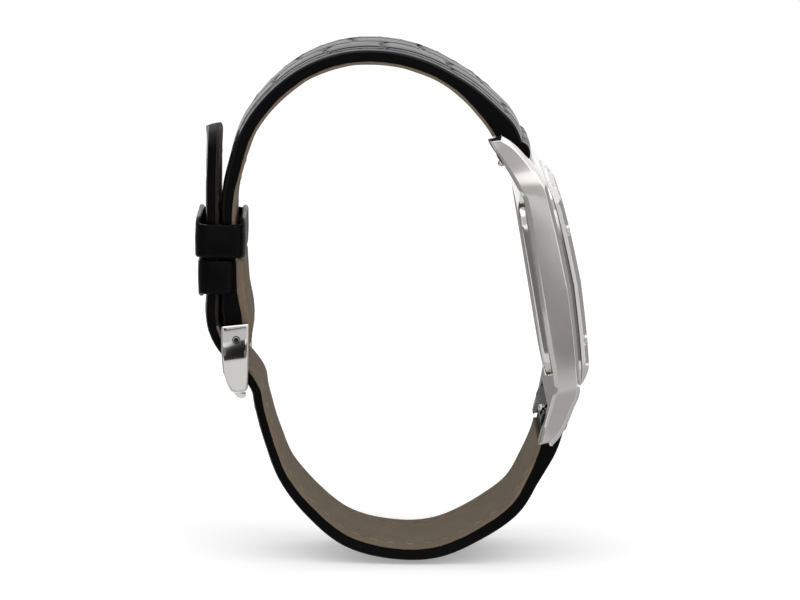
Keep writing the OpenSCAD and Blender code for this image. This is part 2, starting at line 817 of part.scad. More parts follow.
lever_x = stem_x - stem_r - 0.3;
module setting_lever() {
    arm = lever_at[1];
    color(steel) union() {
        plan(lever_x - 0.25, 0.25) translate(lever_at) union() {
            circle(0.8);
            translate([-0.35, -arm]) square([0.7, arm]);
            translate([0, -arm]) circle(0.35);
            polygon([[-0.3, 0.7], [0.3, -0.7], [1.1, 0.9], [0.7, 1.4]]);
        }
        round_x(lever_x - 0.1, stem_x - 0.33, 0.2, [lever_at[0], 0]);
        round_x(lever_x - 0.1, plate_x + 0.3, 0.3, lever_at);
    }
}

module crown() {
    step = 360 / crown_grooves;
    color(bright_steel) difference() {
        intersection() {
            translate([stem_x, crown_y + crown_l, 0]) rotate([90, 0, 0]) linear_extrude(crown_l)
                polygon([
                    for (i = [0:crown_grooves - 1], k = [[1, -0.3], [1, 0.1], [0.93, 0.3], [0.93, 0.5]])
                        crown_d / 2 * k[0] * [cos(step * (i + k[1])), sin(step * (i + k[1]))]
                ]);
            translate([stem_x, crown_y, 0]) rotate([-90, 0, 0]) rotate_extrude() polygon([
                [0, 0], [crown_d / 2 - 0.4, 0], [crown_d / 2, 0.35], [crown_d / 2, crown_l - 0.9],
                [crown_d / 2 - 0.7, crown_l - 0.25], [1.1, crown_l], [0, crown_l]
            ]);
        }
        round_y(crown_y - 1, tube_end + 0.2, tube_r + 0.6, [stem_x, 0]);
        round_y(crown_y - 1, stem_end, stem_r, [stem_x, 0]);
    }
}

module crown_gasket() {
    color([0.1, 0.1, 0.1]) translate([stem_x, crown_y + 0.35, 0]) rotate([-90, 0, 0])
        rotate_extrude() translate([tube_r + run_gap, 0]) square([0.6 - run_gap, 0.4]);
}

// Spring bars: a tube, a release pin with its knob on the 9 o'clock side and a plain pin

bar_half = lug_gap / 2 - 0.5;
pin_out = lug_gap / 2 + bar_hole_depth - 0.1;
knob_dir = [-0.61, 0.79];
knob_y = -6.9;
function bar_at(s) = [lug_bar[0], s * lug_bar[1]];
function knob_turn(s) = atan2(s * knob_dir[1], knob_dir[0]);

module spring_bar(s) {
    p = bar_at(s);
    color(steel) difference() {
        round_y(-bar_half, bar_half, bar_r, p);
        round_y(-bar_half - 1, -3.5, bar_r - 0.15, p);
        round_y(3.5, bar_half + 1, bar_r - 0.15, p);
        translate([p[0], knob_y - 0.35, p[1]]) rotate([0, knob_turn(s), 0]) translate([0, 0, -0.35])
            cube([2, release_travel + 0.7, 0.7]);
    }
}

module release_pin(s) {
    p = bar_at(s);
    color(bright_steel) union() {
        round_y(-pin_out, -bar_half, bar_tip_r, p);
        round_y(-bar_half - 0.1, knob_y + 0.5, bar_r - 0.15 - run_gap, p);
        translate([p[0], knob_y, p[1]]) rotate([0, knob_turn(s), 0]) rotate([0, 90, 0]) {
            cylinder(h = 2, r = 0.3);
            translate([0, 0, 2.3]) sphere(0.5);
        }
    }
}

module plain_pin(s) {
    p = bar_at(s);
    color(bright_steel) union() {
        round_y(bar_half, pin_out, bar_tip_r, p);
        round_y(5.6, bar_half + 0.1, bar_r - 0.15 - run_gap, p);
    }
}

module spring_bar_top() spring_bar(1);
module spring_bar_bottom() spring_bar(-1);
module release_pin_top() release_pin(1);
module release_pin_bottom() release_pin(-1);
module plain_pin_top() plain_pin(1);
module plain_pin_bottom() plain_pin(-1);

// Strap: each half follows the line between its leather and its lining, as [x, z]

// Bends of the loop, in shares of its depth and of its top or bottom height
top_bends = [
    [-0.119, 0.797], [-0.217, 0.9], [-0.346, 0.971], [-0.491, 0.998], [-0.631, 0.971],
    [-0.757, 0.894], [-0.857, 0.785], [-0.923, 0.643], [-0.962, 0.54], [-0.981, 0.443],
    [-0.988, 0.356], [-0.994, 0.264]
];
bottom_bends = [
    [-0.116, 0.776], [-0.197, 0.883], [-0.331, 0.958], [-0.479, 1], [-0.632, 0.973],
    [-0.77, 0.897], [-0.874, 0.761], [-0.944, 0.613], [-0.973, 0.452]
];
// Places near the buckle, from the buckle bar
top_end = [[1.15, 6.2], [1.2, 2.9], [0.97, 0.95]];
tail_bends = [
    [1.98, -10.31], [1.92, -7.81], [0.91, -5.3], [-0.7, -2.77], [-2, -0.45], [-2.55, 1.76],
    [-2.47, 3.76], [-1.95, 6.25], [-1.34, 9.74], [-0.65, 13.73], [0.04, 17.72], [0.59, 20.91],
    [1.03, 23.31], [1.68, 26.4], [1.92, 27.84], [1.92, 28.99]
];
top_route = concat(
    [lug_bar + [-1.5, 0.6], lug_bar + [-1.85, 3.2]],
    [for (b = top_bends) [b[0] * loop_depth, b[1] * loop_top]],
    [for (e = top_end) buckle_bar_at + e]
);
bottom_route = concat(
    [[lug_bar[0] - 1.5, -lug_bar[1] - 0.6], [lug_bar[0] - 2.75, -lug_bar[1] - 3.8]],
    [for (b = bottom_bends) [b[0] * loop_depth, -b[1] * loop_bottom]],
    [for (e = tail_bends) buckle_bar_at + e]
);

// Ring of a strap half at t, from its section as [y, out]; s is 1 for the top half
function strap_ring(route, s, t, section) =
    let (p = curve(route, t), d = curve(route, t + 0.001) - curve(route, t - 0.001))
    let (u = s * d / norm(d))
    [for (q = section) [p[0] + u[1] * q[1], s * q[0], p[1] - u[0] * q[1]]];

// Half of the strap's width, which narrows from the lugs to end
function half_width(t, end) = strap_lug_w / 2 + (strap_buckle_w - strap_lug_w) / 2 * ease(t / end);

// Thickness of the leather along its middle: padded at the lugs, thin near the buckle
function leather_at(t, end, pad) =
    leather_t + pad * (1 - ease(t / end * 5))
    - (leather_t - leather_end_t) * ease((t / end - 0.6) * 3);

function leather_section(w, edge, top) = [
    [-w, 0], [-w, edge - 0.4], [-w + 0.35, edge], [-0.7 * w, edge + 0.65 * (top - edge)],
    [-0.3 * w, top], [0.3 * w, top], [0.7 * w, edge + 0.65 * (top - edge)], [w - 0.35, edge],
    [w, edge - 0.4], [w, 0]
];
function lining_section(w, t) = [[-w, -t], [-w, 0], [w, 0], [w, -t]];

top_steps = 50;
top_narrow = 0.85;
// Shares of the way along the top half where its leather thickens and where its lining does
fold_from = 0.665;
fold_over = 0.16;
flap_from = 0.79;
flap_over = 0.02;
module strap_half(route, s, steps, narrow, tip, first, lining, fold) {
    loft([
        for (i = [first:steps])
            let (t = i / steps, k = max(0, (t - 1 + tip) / max(tip, 0.001)))
            let (w = half_width(t, narrow) * sqrt(1 - 0.93 * k * k))
            let (pad = s > 0 ? top_pad_t : bottom_pad_t)
            let (folded = fold * leather_fold_t * ease((t - fold_from) / fold_over))
            let (top = leather_at(t, narrow, pad) + folded)
            let (under = lining_t + fold * flap_t * ease((t - flap_from) / flap_over))
            strap_ring(
                route, s, t,
                lining ? lining_section(w, under) : leather_section(w, top - leather_edge_drop, top)
            )
    ]);
}

// Rolled end of a strap half round its spring bar, as wide as the lug gap allows
module lug_roll(s) {
    p = bar_at(s);
    color(black_leather) difference() {
        union() {
            round_y(-strap_lug_w / 2, strap_lug_w / 2, strap_roll_r, p);
            children();
        }
        round_y(-20, 20, bar_r + 0.05, p);
        translate([p[0], knob_y - 0.8, p[1]]) rotate([0, knob_turn(s), 0]) translate([0, 0, -0.8])
            cube([5, release_travel + 1.6, 1.6]);
    }
}

buckle_roll_r = buckle_bar_r + 0.6;
tang_ring_r = buckle_bar_r + 0.5;
module strap_top_leather() {
    b = buckle_bar_at;
    color(black_leather) difference() {
        lug_roll(1) {
            strap_half(top_route, 1, top_steps, top_narrow, 0, 0, false, 1);
            // Padded nose over the spring bar
            side(-strap_lug_w / 2, strap_lug_w / 2) translate(lug_bar) polygon([
                [-1.4, 0.5], [0, -1.8], [1.7, -2.15], [2.45, -1.85], [2.75, -0.9], [2.65, 0.3],
                [2.1, 1.9]
            ]);
            round_y(-strap_buckle_w / 2, strap_buckle_w / 2, buckle_roll_r, b);
            side(-strap_buckle_w / 2, strap_buckle_w / 2) polygon([
                b + [-buckle_roll_r, 0], b + [-1.4, 0.95], b + [-1.35, 1.3], b + [0.98, 1.3],
                b + [0.95, 0.9], b + [1.03, 0.3], b + [buckle_roll_r, 0]
            ]);
        }
        round_y(-20, 20, buckle_bar_r + 0.05, b);
        keeper_recess();
        // Notch for the tang
        translate([b[0] - 3, -tang_w / 2 - 0.25, b[1] - 3]) cube([6, tang_w + 0.5, 5]);
    }
}

// Lining of the top half, with the flap that goes back over the buckle bar
module strap_top_lining() {
    b = buckle_bar_at;
    color(lining_leather) union() {
        strap_half(top_route, 1, top_steps, top_narrow, 0, 2, true, 1);
        side(-strap_buckle_w / 2, strap_buckle_w / 2) polygon([
            b + [1.03, 1.2], b + [0.99, 0.92], b + [1.07, 0.3], b + [1.1, 0], b + [1.04, -0.35],
            b + [0.93, -0.75], b + [0.62, -1.64], b + [0.95, -1.85], b + [1.35, -1.6],
            b + [1.78, -1.06], b + [2.08, -0.07], b + [2.26, 1.1]
        ]);
    }
}

bottom_steps = 72;
bottom_narrow = 0.42;
tip_share = 0.09;
module strap_bottom_leather() {
    color(black_leather) difference() {
        lug_roll(-1)
            strap_half(bottom_route, -1, bottom_steps, bottom_narrow, tip_share, 0, false, 0);
        tail_holes();
    }
}

module strap_bottom_lining() {
    color(lining_leather) difference() {
        strap_half(bottom_route, -1, bottom_steps, bottom_narrow, tip_share, 2, true, 0);
        tail_holes();
    }
}

// Holes along the middle of the tail, and the one that is stretched round the tang
tail_holes_at = [for (i = [0, 1]) buckle_bar_at + tail_bends[13] - [0, i * tail_hole_pitch]];
module tail_holes() {
    for (p = tail_holes_at) translate([p[0], 0, p[1]]) rotate([0, -90, 0])
        cylinder(h = 8, r = tail_hole_d / 2, center = true);
    side(-tang_w / 2 - 0.25, tang_w / 2 + 0.25) translate(buckle_bar_at + [-1.11, -3.51]) rotate(-75)
        translate([-3, -1.3]) square([6, 2.5]);
}

// Keepers: bands round the stack, given in side view by their place, tilt and inner depth

keeper_room = 0.35;
keeper_w = strap_buckle_w + 2 * keeper_room;
keeper_in_r = 0.7;
keeper_edge = 0.25;
fixed_keeper_at = buckle_bar_at + [-1.24, 8.94];
fixed_keeper_tilt = 9.4;
sliding_keeper_at = buckle_bar_at + [0.08, 13.86];
sliding_keeper_tilt = 10.4;

module keeper(at, tilt, depth) {
    end = keeper_h / 2;
    translate([at[0], 0, at[1]]) rotate([0, tilt, 0]) difference() {
        loft([
            for (l = [[-end, keeper_edge], [0.4 - end, 0], [end - 0.4, 0], [end, keeper_edge]])
                let (out = 2 * keeper_t - 2 * l[1])
                [for (p = round_box(depth + out, keeper_w + out, keeper_r)) [p[0], p[1], l[0]]]
        ]);
        linear_extrude(2 * keeper_h, center = true)
            polygon(round_box(depth, keeper_w, keeper_in_r));
    }
}

module fixed_keeper() {
    color(black_leather) keeper(fixed_keeper_at, fixed_keeper_tilt, fixed_keeper_depth);
}

// Recess in the inner face of the leather, where the fixed keeper is let in
module keeper_recess() {
    room = fixed_keeper_depth - 0.06;
    translate([fixed_keeper_at[0], 0, fixed_keeper_at[1]]) rotate([0, fixed_keeper_tilt, 0])
        linear_extrude(keeper_h + 0.1, center = true) difference() {
            translate([0, -strap_buckle_w]) square([2 * fixed_keeper_depth, 2 * strap_buckle_w]);
            polygon(round_box(room, keeper_w, keeper_in_r));
        }
}

module sliding_keeper() {
    color(black_leather) keeper(sliding_keeper_at, sliding_keeper_tilt, sliding_keeper_depth);
}

// Buckle

buckle_gap = strap_buckle_w + 0.6;

// Round bar between the arms, bowed away from the hinge
module front_bar() {
    reach = buckle_gap / 2 + 0.1;
    loft([
        for (i = [-6:6])
            let (z = front_bar_at[1] - buckle_bow * (1 - pow(i / 6, 2)))
            [
                for (j = [0:15]) let (a = 22.5 * j + 11.25)
                [front_bar_at[0] + buckle_front_r * sin(a), reach * i / 6, z + buckle_front_r * cos(a)]
            ]
    ]);
}

module buckle_frame() {
    b = buckle_bar_at;
    color(bright_steel) difference() {
        union() {
            for (s = [-1, 1]) side(
                s > 0 ? buckle_gap / 2 : -buckle_gap / 2 - buckle_arm_t,
                s > 0 ? buckle_gap / 2 + buckle_arm_t : -buckle_gap / 2
            ) polygon([
                b + [-1.79, 2.2], b + [2.08, 1.94], b + [1.69, -0.2], b + [1.19, -2.85],
                b + [0.68, -5.5], b + [0.36, -7.04], b + [0.08, -7.43], b + [-0.31, -7.53],
                b + [-1.37, -7.46], b + [-2.01, -7.2], b + [-2.36, -6.09], b + [-2.6, -4.39],
                b + [-2.42, -1.99], b + [-2.01, 1]
            ]);
            front_bar();
        }
        round_y(-buckle_gap / 2 - buckle_arm_t - 1, buckle_gap / 2 + buckle_arm_t + 1, 0.36, b);
    }
}

module buckle_bar() {
    b = buckle_bar_at;
    color(steel) union() {
        round_y(-buckle_gap / 2, buckle_gap / 2, buckle_bar_r, b);
        round_y(-buckle_gap / 2 - buckle_arm_t, buckle_gap / 2 + buckle_arm_t, 0.36, b);
    }
}

module buckle_tang() {
    b = buckle_bar_at;
    color(bright_steel) difference() {
        union() {
            round_y(-tang_w / 2, tang_w / 2, tang_ring_r, b);
            side(-tang_w / 2, tang_w / 2) polygon([
                b + [0.2, -0.9], b + [-0.95, 0], b + [-1.85, -2.6], b + [-2.62, -5.6],
                b + [-2.75, -7.2], b + [-2.49, -8.39], b + [-1.81, -9.6], b + [-1.21, -9.91],
                b + [-0.66, -9.77], b + [-0.6, -9.42], b + [-1.2, -9.21], b + [-1.69, -8.6],
                b + [-1.83, -7.8], b + [-1.8, -6.9], b + [-1.68, -5.6], b + [-0.85, -2.9]
            ]);
        }
        round_y(-20, 20, buckle_bar_r + run_gap, b);
    }
}

mid_case();
bezel();
bezel_screws();
crystal();
crystal_gasket();
dial();
hour_markers();
dial_ring();
case_back();
case_back_gasket();
case_back_screws();
movement_holder();
crown_tube();
main_plate();
train_bridge();
bridge_screws();
battery();
battery_clamp();
circuit_board();
quartz_can();
motor_coil();
stator();
rotor();
intermediate_wheel();
seconds_wheel();
third_wheel();
centre_wheel();
minute_wheel();
hour_wheel();
hour_hand();
minute_hand();
seconds_hand();
stem();
crown();
crown_gasket();
sliding_pinion();
setting_lever();
spring_bar_top();
spring_bar_bottom();
release_pin_top();
release_pin_bottom();
plain_pin_top();
plain_pin_bottom();
strap_top_leather();
strap_top_lining();
strap_bottom_leather();
strap_bottom_lining();
fixed_keeper();
sliding_keeper();
buckle_frame();
buckle_bar();
buckle_tang();
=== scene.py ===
# Square wristwatch on a leather strap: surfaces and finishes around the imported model
import json
import math
import bpy
import bmesh
import numpy as np
from mathutils import Matrix, Vector


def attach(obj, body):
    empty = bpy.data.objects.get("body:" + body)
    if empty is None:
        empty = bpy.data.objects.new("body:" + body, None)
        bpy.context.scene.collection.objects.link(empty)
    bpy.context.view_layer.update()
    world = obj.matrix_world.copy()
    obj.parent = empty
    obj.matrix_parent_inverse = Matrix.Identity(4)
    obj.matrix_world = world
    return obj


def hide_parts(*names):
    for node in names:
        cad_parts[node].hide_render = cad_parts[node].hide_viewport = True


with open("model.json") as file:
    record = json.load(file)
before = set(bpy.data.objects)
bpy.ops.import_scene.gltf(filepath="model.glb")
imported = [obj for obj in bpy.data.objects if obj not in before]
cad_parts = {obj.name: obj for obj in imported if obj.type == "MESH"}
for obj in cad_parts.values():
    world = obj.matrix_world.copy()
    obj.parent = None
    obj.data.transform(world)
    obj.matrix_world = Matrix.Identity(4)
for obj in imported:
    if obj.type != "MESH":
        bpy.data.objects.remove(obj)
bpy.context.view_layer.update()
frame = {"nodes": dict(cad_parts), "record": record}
MM = 0.001

# Sizes in millimetres and turns in degrees; a name that the source has too has its value there

dial_w = 25.6
lug_reach = 21.9
lug_gap = 20.3
lug_tip_w = 25.8
body_reach = 16.7
front_x = 5.5
cavity_r = 3.0
front_slope = 0.7
rear_slope = 0.5
bezel_r = 4.0
bezel_t = 1.5
crystal_seat = 0.75
crystal_proud = 0.06
crystal_r = 2.4
crystal_gasket_t = 0.35
bezel_screw_d = 1.5
screw_spread = 7.75
screw_head_t = 0.3
back_w = 28.4
back_h = 24.8
back_t = 1.1
back_r = 3.2
back_round = 0.5
back_seat_inset = 1.15
back_seat_z = 8.6
back_seat_r = 0.7
back_seat_depth = 0.36
stem_x = 3.3
tube_r = 1.1
seat_x = 3.65
dial_face_x = 4.5
bar_hole_depth = 1.1
bar_tip_r = 0.4
strap_lug_w = 19.8
strap_buckle_w = 16.0
leather_t = 1.9
leather_end_t = 1.5
leather_edge_drop = 0.35
top_pad_t = 1.9
bottom_pad_t = 1.1
leather_fold_t = 0.8
lining_t = 0.45
flap_t = 0.8
loop_depth = 40.0
loop_top = 35.0
loop_bottom = 34.3
strap_roll_r = 1.9
strap_shoulder = 0.35
edge_round = 0.4
stitch_pitch = 2.6
leather_seam_inset = 1.75
lining_seam_inset = 2.0
leather_stitch = 1.9
lining_stitch = 1.3
tail_hole_d = 1.8
tail_hole_pitch = 6.5
buckle_arm_t = 1.7
buckle_front_r = 0.85
buckle_bow = 1.2
tang_w = 1.7
tang_room = 0.25
arm_edge_r = 0.3
arm_dome = 0.5
arm_middle = 2.65
arm_half_h = 4.8
pin_ring_r = 0.56
pin_end_r = 0.42
pin_ring_depth = 0.3
keeper_t = 0.75
keeper_h = 4.7
keeper_room = 0.35
fixed_keeper_depth = 3.65
sliding_keeper_depth = 5.4
crystal_w = dial_w - 1.8
bezel_w = dial_w + 3.2
bezel_h = dial_w + 3.6
case_w = bezel_w + 2.6
opening_w = dial_w - 2.2
screw_row = dial_w / 2 + 0.5
shoulder_z = bezel_h / 2 + 0.1
bar_hole_room = 0.05
arm_y = strap_buckle_w / 2 + 0.3

# Places in the side view: [x, z]
lug_bar = np.array([0.3, lug_reach - 2.6])
buckle_bar = np.array([-loop_depth - 1.35, -0.45])
front_bar = buckle_bar + [-0.91, -6.62]
tang_slot = buckle_bar + [-1.11, -3.51]
tang_slot_turn = -75
fixed_keeper_place = buckle_bar + [-1.24, 8.94]
fixed_keeper_turn = 9.4
sliding_keeper_place = buckle_bar + [0.08, 13.86]
sliding_keeper_turn = 10.4

# Notch in the leather for a spring bar's knob: way from the bar, place and half width across
knob_way = [-0.61, 0.79]
notch_y = -6.3
notch_half_w = 1.3
notch_half_turn = math.degrees(0.45)

# Side view of the case, from its middle to the lug tip: [height over the case back, z]
front_edge = np.array([
    [front_x, 0], [front_x - 0.28, 6], [front_x - 0.7, 11.3], [front_x - 1.1, shoulder_z],
    [front_x - 2.37, lug_reach - 4.7], [front_x - 3.63, lug_reach - 2.5],
    [front_x - 4.8, lug_reach - 1], [front_x - 5.95, lug_reach],
])
flank_front = front_edge - [[0.57 - 0.05 * i, 0 if i < 3 else 0.1 * i] for i in range(8)]
rear_edge = np.array([
    [back_t, 0], [back_t, 6], [back_t, back_h / 2 + 0.2], [back_t - 0.6, shoulder_z],
    [back_t - 1.5, lug_reach - 4.9], [back_t - 2.3, lug_reach - 3],
    [back_t - 2.95, lug_reach - 1.8], [back_t - 3.5, lug_reach - 0.5],
])
flank_rear = rear_edge + [[0.6 - 0.01 * i, 0 if i < 3 else -0.02 * i] for i in range(8)]
flank_y = np.array([
    [case_w / 2], [case_w / 2], [case_w / 2], [case_w / 2 - 0.3], [lug_tip_w / 2 + 1.3],
    [lug_tip_w / 2 + 0.55], [lug_tip_w / 2 + 0.15], [lug_tip_w / 2],
])

# Bends of the strap loop, between its leather and its lining
top_bends = [
    [-0.119, 0.797], [-0.217, 0.9], [-0.346, 0.971], [-0.491, 0.998], [-0.631, 0.971],
    [-0.757, 0.894], [-0.857, 0.785], [-0.923, 0.643], [-0.962, 0.54], [-0.981, 0.443],
    [-0.988, 0.356], [-0.994, 0.264],
]
bottom_bends = [
    [-0.116, 0.776], [-0.197, 0.883], [-0.331, 0.958], [-0.479, 1], [-0.632, 0.973],
    [-0.77, 0.897], [-0.874, 0.761], [-0.944, 0.613], [-0.973, 0.452],
]
top_end = [[1.15, 6.2], [1.2, 2.9], [0.97, 0.95]]
tail_bends = [
    [1.98, -10.31], [1.92, -7.81], [0.91, -5.3], [-0.7, -2.77], [-2, -0.45], [-2.55, 1.76],
    [-2.47, 3.76], [-1.95, 6.25], [-1.34, 9.74], [-0.65, 13.73], [0.04, 17.72], [0.59, 20.91],
    [1.03, 23.31], [1.68, 26.4], [1.92, 27.84], [1.92, 28.99],
]
top_route = np.array(
    [lug_bar + [-1.5, 0.6], lug_bar + [-1.85, 3.2]]
    + [[b[0] * loop_depth, b[1] * loop_top] for b in top_bends]
    + [buckle_bar + e for e in top_end]
)
bottom_route = np.array(
    [[lug_bar[0] - 1.5, -lug_bar[1] - 0.6], [lug_bar[0] - 2.75, -lug_bar[1] - 3.8]]
    + [[b[0] * loop_depth, -b[1] * loop_bottom] for b in bottom_bends]
    + [buckle_bar + e for e in tail_bends]
)

# Curves, skins and pieces


def curve(points, t):
    """Smooth curve through points, for an array of t from 0 to 1."""
    p = np.asarray(points, float)
    n = len(p) - 1
    u = np.clip(np.asarray(t, float) * n, 0, n - 1e-6)
    i = np.floor(u).astype(int)
    f = (u - i)[..., None]
    a, b, c, d = p[np.maximum(i - 1, 0)], p[i], p[i + 1], p[np.minimum(i + 2, n)]
    return 0.5 * (2 * b + (c - a) * f + (2 * a - 5 * b + 4 * c - d) * f**2
                  + (3 * b - a - 3 * c + d) * f**3)


def ease(k):
    """Soft step that goes from 0 to 1 while k does."""
    k = np.clip(k, 0, 1)
    return k * k * (3 - 2 * k)


def waves(s, seed, pitch):
    """Smooth unevenness along s, between about -1 and 1: four waves near a pitch."""
    rng = np.random.default_rng(seed)
    total = np.zeros_like(s, dtype=float)
    for k in range(4):
        total += np.sin(s * 2 * math.pi / (pitch * rng.uniform(0.6, 1.7)) + rng.uniform(0, 6.3))
    return total / 4


def full_turn(steps):
    """Angles of a full turn in equal steps."""
    return np.linspace(0, 2 * math.pi, steps, endpoint=False)


def smooth(mesh, crease):
    """Smooth shading, except over edges that bend more than crease degrees."""
    mesh.polygons.foreach_set("use_smooth", [True] * len(mesh.polygons))
    mesh.set_sharp_from_angle(angle=math.radians(crease))


def piece(name, points, faces, finishes, face_finish=None, crease=35):
    """New object from points in millimetres; face_finish picks each face's finish."""
    mesh = bpy.data.meshes.new(name)
    mesh.from_pydata((np.asarray(points, float) * MM).tolist(), [], faces)
    for finish in finishes:
        mesh.materials.append(finish)
    if face_finish is not None:
        mesh.polygons.foreach_set("material_index", face_finish)
    smooth(mesh, crease)
    mesh.update()
    made = bpy.data.objects.new(name, mesh)
    bpy.context.scene.collection.objects.link(made)
    return made


def skin(rings, loop=False):
    """Points and faces over closed rings; loop joins the last ring to the first."""
    rings = np.asarray(rings, float)
    rows, n = rings.shape[:2]
    faces = []
    for i in range(rows if loop else rows - 1):
        k = (i + 1) % rows
        faces += [(i * n + j, i * n + (j + 1) % n, k * n + (j + 1) % n, k * n + j)
                  for j in range(n)]
    if not loop:
        faces.append(tuple(range(n))[::-1])
        faces.append(tuple(range((rows - 1) * n, rows * n)))
    return rings.reshape(-1, 3), faces


def cut(made, cutters):
    """Takes the cutter objects out of a piece and removes them."""
    for cutter in cutters:
        step = made.modifiers.new("cut", "BOOLEAN")
        step.operation = "DIFFERENCE"
        step.solver = "EXACT"
        step.object = cutter
    bpy.context.view_layer.update()
    done = bpy.data.meshes.new_from_object(
        made.evaluated_get(bpy.context.evaluated_depsgraph_get()))
    old = made.data
    made.modifiers.clear()
    made.data = done
    bpy.data.meshes.remove(old)
    for cutter in cutters:
        bpy.data.objects.remove(cutter)
    smooth(made.data, 35)
    return made


def prism(name, outline, low, high, axis, finishes, round_edge=0.0, steps=3, index=0):
    """Outline drawn across an axis and raised from low to high, with rounded edges."""
    turn = {"x": lambda p, h: (h, p[0], p[1]), "y": lambda p, h: (p[0], h, p[1])}[axis]
    n = len(outline)
    points = [turn(p, low) for p in outline] + [turn(p, high) for p in outline]
    faces = [tuple(range(n)), tuple(range(2 * n - 1, n - 1, -1))]
    faces += [(i, n + i, n + (i + 1) % n, (i + 1) % n) for i in range(n)]
    made = piece(name, points, faces, finishes, [index] * len(faces), 30)
    bm = bmesh.new()
    bm.from_mesh(made.data)
    bmesh.ops.recalc_face_normals(bm, faces=bm.faces)
    if round_edge:
        edges = [e for e in bm.edges if e.calc_face_angle(0) > math.radians(30)]
        bmesh.ops.bevel(bm, geom=edges, offset=round_edge * MM, offset_type="OFFSET",
                        segments=steps, profile=0.5, affect="EDGES", clamp_overlap=True)
    bm.to_mesh(made.data)
    bm.free()
    smooth(made.data, 40)
    return made


def disc(y, z, r, steps=24):
    """Outline of a circle round a middle."""
    return [(y + r * math.cos(a), z + r * math.sin(a)) for a in full_turn(steps)]


def square(w, h, r, corner=12, side=1):
    """Outline of a rectangle with round corners and side steps along each straight."""
    signs = [(1, 1), (-1, 1), (-1, -1), (1, -1)]
    points = []
    for c, (sy, sz) in enumerate(signs):
        for k in range(corner + 1):
            a = math.radians(90 * c + 90 * k / corner)
            points.append((sy * (w / 2 - r) + r * math.cos(a), sz * (h / 2 - r) + r * math.sin(a)))
        a = math.radians(90 * (c + 1))
        ty, tz = signs[(c + 1) % 4]
        end = (ty * (w / 2 - r) + r * math.cos(a), tz * (h / 2 - r) + r * math.sin(a))
        last = points[-1]
        for k in range(1, side):
            f = k / side
            points.append((last[0] + (end[0] - last[0]) * f, last[1] + (end[1] - last[1]) * f))
    return np.array(points)


def mend_normals(made):
    """Turns every face outwards."""
    bm = bmesh.new()
    bm.from_mesh(made.data)
    bmesh.ops.recalc_face_normals(bm, faces=bm.faces)
    bm.to_mesh(made.data)
    bm.free()
    return made


def dress(made, body, slot, *nodes):
    """The piece rides on its body and stands for its nodes, which it hides; slot is not used."""
    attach(made, body)
    if nodes:
        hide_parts(*nodes)
    return made


# Finishes


def new_finish(name):
    """New material, with its nodes and its main shader."""
    finish = bpy.data.materials.new(name)
    finish.use_nodes = True
    tree = finish.node_tree
    shader = tree.nodes["Principled BSDF"]
    return finish, tree, shader


def add(tree, kind, **values):
    """New node with its sockets or settings set."""
    node = tree.nodes.new(kind)
    for key, value in values.items():
        if key in node.inputs:
            node.inputs[key].default_value = value
        else:
            setattr(node, key, value)
    return node


def effect(name, inputs, outputs):
    """Empty shader node group with named inputs [name, kind, value] and outputs [name, kind]."""
    group = bpy.data.node_groups.new(name, "ShaderNodeTree")
    for label, kind, value in inputs:
        socket = group.interface.new_socket(label, in_out="INPUT", socket_type=kind)
        if value is not None:
            socket.default_value = value
    for label, kind in outputs:
        group.interface.new_socket(label, in_out="OUTPUT", socket_type=kind)
    return group, group.nodes.new("NodeGroupInput"), group.nodes.new("NodeGroupOutput")


def brushed_effect():
    """Fine lines along one direction: a height and a roughness that vary with them."""
    group, given, out = effect("brushed_lines", [
        ["Stretch", "NodeSocketVector", (1, 1, 1)], ["Roughness", "NodeSocketFloat", 0.3],
        ["Spread", "NodeSocketFloat", 0.1],
    ], [["Height", "NodeSocketFloat"], ["Roughness", "NodeSocketFloat"]])
    link = group.links.new
    place = group.nodes.new("ShaderNodeTexCoord")
    scale = add(group, "ShaderNodeVectorMath", operation="MULTIPLY")
    lines = add(group, "ShaderNodeTexNoise", Scale=1.0, Detail=3.0, Roughness=0.6)
    spread = add(group, "ShaderNodeMapRange")
    low = add(group, "ShaderNodeMath", operation="SUBTRACT")
    high = add(group, "ShaderNodeMath", operation="ADD")
    link(place.outputs["Object"], scale.inputs[0])
    link(given.outputs["Stretch"], scale.inputs[1])
    link(scale.outputs[0], lines.inputs["Vector"])
    link(given.outputs["Roughness"], low.inputs[0])
    link(given.outputs["Spread"], low.inputs[1])
    link(given.outputs["Roughness"], high.inputs[0])
    link(given.outputs["Spread"], high.inputs[1])
    link(lines.outputs["Fac"], spread.inputs["Value"])
    link(low.outputs[0], spread.inputs["To Min"])
    link(high.outputs[0], spread.inputs["To Max"])
    link(lines.outputs["Fac"], out.inputs["Height"])
    link(spread.outputs["Result"], out.inputs["Roughness"])
    return group


